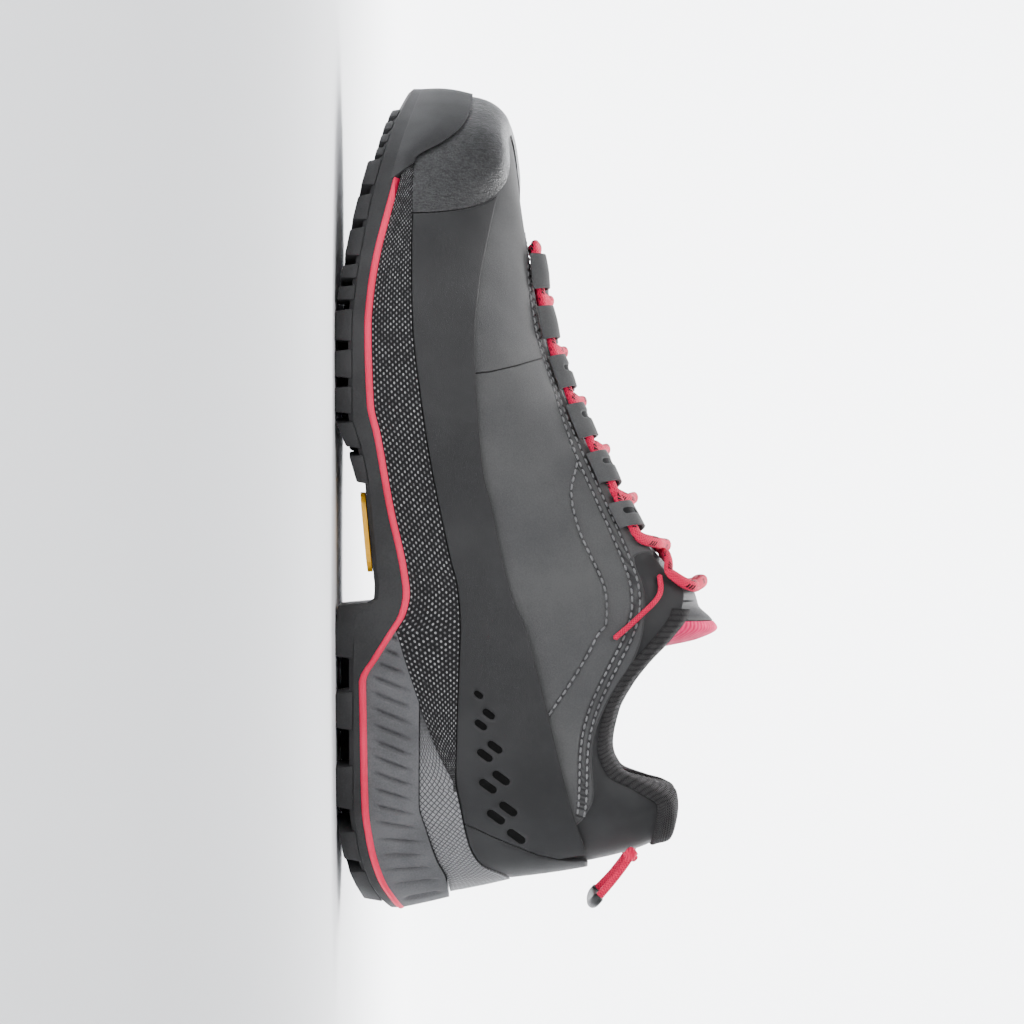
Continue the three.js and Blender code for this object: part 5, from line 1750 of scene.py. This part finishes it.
# %% Braid finishes
def braid_finish(name, girth, flecks):
    """Fine slanted plaits round a cord; u is millimetres along it and v goes once round."""
    dark, light = rgb("a80e3a"), rgb("f0164e")
    finish = Finish(name, light, 0.75, Sheen_Weight=0.04, Specular_IOR_Level=0.18)
    along, around, _ = finish.axes(finish.uv())
    turns = around * girth
    one, two = crossed(along, turns, 0.95)
    plait = one.high(two)
    vary = finish.noise(finish.place(), 0.3, 2)
    colour = finish.blend(plait.step(0.2, 0.9) * 0.75 + vary * 0.25, dark, light)
    if flecks:
        row = (along + turns * 0.55).repeat(9.5)
        fleck = ((turns + 40.0).repeat(girth / 4) < 1.5) * (row < 2.7) * (row.repeat(0.9) < 0.62)
        colour = finish.blend(fleck, colour, rgb("120a0c"))
    finish.set(Base_Color=colour)
    return finish.bump(plait, 0.28, 0.9)


lace_braid, thin_braid = braid_finish("lace_braid", 10.0, True), braid_finish("thin_braid", 6.0, False)
sleeve_rubber = moulded_finish("sleeve_rubber", "262627", "343435", 0.5, 0.1, 3.0)

# %% The lace's route: two halves from the middle of the front bar
LACE, LACE_WIDE, LACE_THICK = 3.2, 3.9, 2.7
LACE_OFFSET = LACE / 2 + 2 * GAP
ROW_START, TOP_HOOK, HOOK_DEPTH, LACE_END = 0.8, 0.405, 3, 0.388


def in_loop(s, outer):
    return near_edge(s, outer, LOOP_EDGE + LOOP_WIDTH / 2, GAP + LACE_OFFSET)


def tongue_slope(s):
    return tongue_face(s + 0.01, 0.0) - tongue_face(s - 0.01, 0.0)


def over_tongue(s, u, lift):
    slope = tongue_slope(s)
    upright = unit(np.array([-slope[2], 0, slope[0]]))
    return tongue_face(s, u) + upright * (LACE_OFFSET + lift)


def over_edge(s, outer):
    return raised(top_point(np.asarray(top_ring_at(s, outer))), LACE_OFFSET + 5 * GAP)


def across(s, end, outer, lift):
    sign = -1 if outer else 1
    return [
        over_edge(s, outer), over_tongue(mix(s, end, 0.3), 0.45 * sign, lift * 0.7),
        over_tongue(mix(s, end, 0.5), 0.0, lift), over_tongue(mix(s, end, 0.7), -0.45 * sign, lift * 0.7),
        over_edge(end, not outer),
    ]


def lace_half(outer, lift):
    sign = -1 if outer else 1
    points = [
        over_tongue(ROW_START, -0.1 * sign, LACE * 0.3), over_tongue(ROW_START, 0.5 * sign, LACE * 0.3),
        over_edge(ROW_START, outer),
    ]
    for number, (s, end) in enumerate(zip(LOOPS["s"], LOOPS["end"])):
        points += [in_loop(share, outer) for share in (end + 0.01, end - 0.004, s + 0.004, s - 0.01)]
        after = [*LOOPS["end"], TOP_HOOK + 0.012][number + 1]
        points += across(s - 0.011, after + 0.011, outer, lift)
        outer = not outer
    sign = -1 if outer else 1
    hook = [(TOP_HOOK + 0.01, 0.5), (TOP_HOOK, HOOK_DEPTH), (TOP_HOOK - 0.012, 0.5)]
    points += [near_edge(s, outer, depth, LACE_OFFSET + GAP) for s, depth in hook]
    points += across(TOP_HOOK - 0.012, LACE_END, outer, lift)[:-1]
    points.append(over_tongue(LACE_END, 0.72 * -sign, lift * 0.4))
    return through(points, 1.0)


halves = [lace_half(True, 0.0), lace_half(False, LACE * 0.72)]
lace = join("lace_braid", *[sweep("lace_braid", route, LACE_WIDE, LACE_THICK, 14, taper=1.2) for route in halves])
dress(lace, "lace_cord", lace_braid)
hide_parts("lace")
print("lace on the shoe, in mm:", round(sum(map(length_of, halves))), "faces:", len(lace.data.polygons))

# %% The thin cords that hold the lace's top row
EYELET_CORD, PULL_CORD, SLEEVE = 1.8, 2.7, 3.6
CORD_STOPS = [(TOP_HOOK - 0.004, HOOK_DEPTH + 4), (0.38, 9), (0.352, 14), (0.328, 17)]
for side, outer in SIDES.items():
    points = []
    for s, depth in CORD_STOPS:
        a = np.asarray(top_ring_at(s, outer))
        points.append(form_at(a, depth_to(a, depth), EYELET_CORD / 2 + 2 * GAP))
    cord = sweep(f"eyelet_cord_braid_{side}", through(points, 0.6), EYELET_CORD, EYELET_CORD, 12, taper=0.5)
    dress(cord, "lace_cord", thin_braid)
    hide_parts(f"eyelet_cord_{side}")

# %% The pull loop at the heel, knotted on each side, and its dark sleeve
PULL_CLEAR, PULL_BOW, KNOT_RADIUS = 2.6, 2, 2.5
PULL_ROWS = {
    "lateral": [(0.083, 0.27, 0.8435), (0.068, 0.26, 0.8217), (0.048, 0.24, 0.787), (0.03, 0.2, 0.7522)],
    "medial": [(0.083, -0.36, 0.8435), (0.068, -0.4, 0.8217), (0.048, -0.48, 0.787), (0.032, -0.52, 0.7522)],
}
pull_points = {
    side: np.array([(x_of(s) - PULL_CLEAR, y * half_width(s), z * COLLAR_HEIGHT) for s, y, z in rows])
    for side, rows in PULL_ROWS.items()
}


def backward(route):
    return unit(stack(-1, route[:, 1] / 40, 0.3))


def knot(name, middle, size):
    """A small overhand knot: a ball pressed in where its turns cross."""
    deselect()
    bpy.ops.mesh.primitive_uv_sphere_add(segments=28, ring_count=16, radius=size * MM)
    ball = bpy.context.object
    ball.name = ball.data.name = name
    points = read_points(ball) / MM
    angle = np.arctan2(points[:, 1], points[:, 0])
    grooves = 1 + 0.13 * np.cos(3 * angle + points[:, 2] * 1.4) - 0.05
    write_points(ball, (points * grooves[:, None] * [1, 1, 0.92] + middle) * MM)
    smooth_shade(ball, 60)
    return dress(ball, "lace_cord", thin_braid)


starts = []
for side in SIDES:
    before, last = pull_points[side][2:]
    way = unit(last - before)
    starts.append([last + way * 2 * GAP, last + way * 3])
bow = mix(starts[0][1], starts[1][1], 0.5) + [-PULL_BOW, 0, -1]
sleeve_route = through([*starts[0], bow, *starts[1][::-1]], 0.5)
pull_route = through([*pull_points["lateral"], starts[0][1], bow, starts[1][1], *pull_points["medial"][::-1]], 0.5)
sleeve = sweep("pull_sleeve", sleeve_route, SLEEVE, SLEEVE, 16, backward, taper=0.8)
dress(sleeve, "sleeve_plastic", sleeve_rubber)
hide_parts("pull_loop_sleeve")
pull = sweep("pull_cord", pull_route, PULL_CORD, PULL_CORD, 14, backward, taper=0.3)
dress(pull, "lace_cord", thin_braid)
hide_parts("pull_loop_lateral", "pull_loop_medial")
knots = [knot(f"pull_knot_{side}", mix(*points[:2], 0.4), KNOT_RADIUS) for side, points in pull_points.items()]

# %% [markdown]
# ## The seams
#
# A seam is a row of short threads, each pressed a little into the leather at both ends. One thread is
# modelled, and copies of its mesh follow each row. Two rows run side by side round the throat and down the
# ankle, a single row curves under the loops, and others hold the tongue's patch and its binding.


# %% Threads along a line on the form
def thread_shape():
    """One short thread, 1 mm long, with its ends bent down."""
    deselect()
    bpy.ops.mesh.primitive_cylinder_add(vertices=6, radius=0.5, depth=1, rotation=(0, math.pi / 2, 0))
    piece = bpy.context.object
    bpy.ops.object.transform_apply(location=False, rotation=True, scale=False)
    for cut in (0, -0.3, 0.3):
        with editing(piece):
            bpy.ops.mesh.bisect(plane_co=(cut, 0, 0), plane_no=(1, 0, 0))
    points = read_points(piece)
    ends = np.abs(points[:, 0]) > 0.4
    points[ends, 1:] *= 0.5
    faces = [list(f.vertices) for f in piece.data.polygons]
    bpy.data.objects.remove(piece)
    return points, faces


THREAD_POINTS, THREAD_FACES = thread_shape()
THREAD_BEND, SHOE_MIDDLE = 0.35, [100.0, 0, 20.0]


def surface_normal(points):
    normals = np.array([form_tree.find_nearest(Vector(p))[1] for p in points])
    return normals * np.sign((normals * (points - SHOE_MIDDLE)).sum(axis=1))[:, None]


def threads_at(middles, ways, normals, long, thick, lift):
    """Mesh data of one thread at each middle, along its way."""
    side = unit(np.cross(normals, ways))
    axes = np.stack([ways, side, np.cross(ways, side)], axis=1)
    shape = THREAD_POINTS * [long, thick, thick]
    shape[:, 2] += lift - THREAD_BEND * thick * (THREAD_POINTS[:, 0] * 2) ** 2
    points = (middles[:, None] + np.einsum("pk,mkd->mpd", shape, axes)).reshape(-1, 3)
    count = len(shape)
    faces = [[k + i * count for k in face] for i in range(len(middles)) for face in THREAD_FACES]
    return points, faces


def sew(name, rows, finish, pitch=2.6, long=2.0, thick=0.75, lift=0.05, normal_of=surface_normal):
    all_points, all_faces = [], []
    for row in rows:
        route = densely(row, pitch)
        middles = (route[1:] + route[:-1]) / 2
        points, faces = threads_at(middles, unit(route[1:] - route[:-1]), normal_of(middles), long, thick, lift)
        base = sum(len(p) for p in all_points)
        all_points.append(points)
        all_faces += [[k + base for k in face] for face in faces]
    mesh = bpy.data.meshes.new(name)
    mesh.from_pydata((np.vstack(all_points) * MM).tolist(), [], all_faces)
    mesh.validate()
    piece = bpy.data.objects.new(name, mesh)
    bpy.context.collection.objects.link(piece)
    dress(piece, "lace_cord", finish)
    smooth_shade(piece, 60)


grey_thread = moulded_finish("grey_thread", "585859", "7c7c7d", 0.7, 0.1, 4.0)
pink_thread = moulded_finish("pink_thread", "f2679a", "ff8db8", 0.7, 0.1, 4.0)
sew("seam_threads", seam_rows, grey_thread)


# %% Threads on the tongue: the patch's arc and the binding's zigzag
def on_tongue(x, y):
    """The tongue's face over a place of the plan."""
    s = share_of(x)
    lateral, medial = tongue_rim(s, True)[:, 1], tongue_rim(s, False)[:, 1]
    return tongue_face(s, 2 * (y - lateral) / (medial - lateral) - 1)


def tongue_normal(points):
    slope = tongue_slope(share_of(points[:, 0]))
    return unit(stack(-slope[:, 2] / slope[:, 0], points[:, 1] / 60, 1))


arc_y = np.linspace(-13, 11, 30)
patch_seam = on_tongue(patch_end(arc_y) - 1.2, arc_y)
sew("patch_threads", [patch_seam], grey_thread, 2.2, 1.6, 0.5, 0.15, tongue_normal)
ZIGS = 40
zig_s = np.where(np.arange(ZIGS + 1) % 2 == 0, BINDING_START - 0.004, BINDING_START - 0.0175)
zig = on_tongue(x_of(zig_s), np.linspace(-18, 16, ZIGS + 1))
sew("binding_threads", [zig[i : i + 2] for i in range(ZIGS)], pink_thread, 9, 3.4, 0.45, 0.12, tongue_normal)
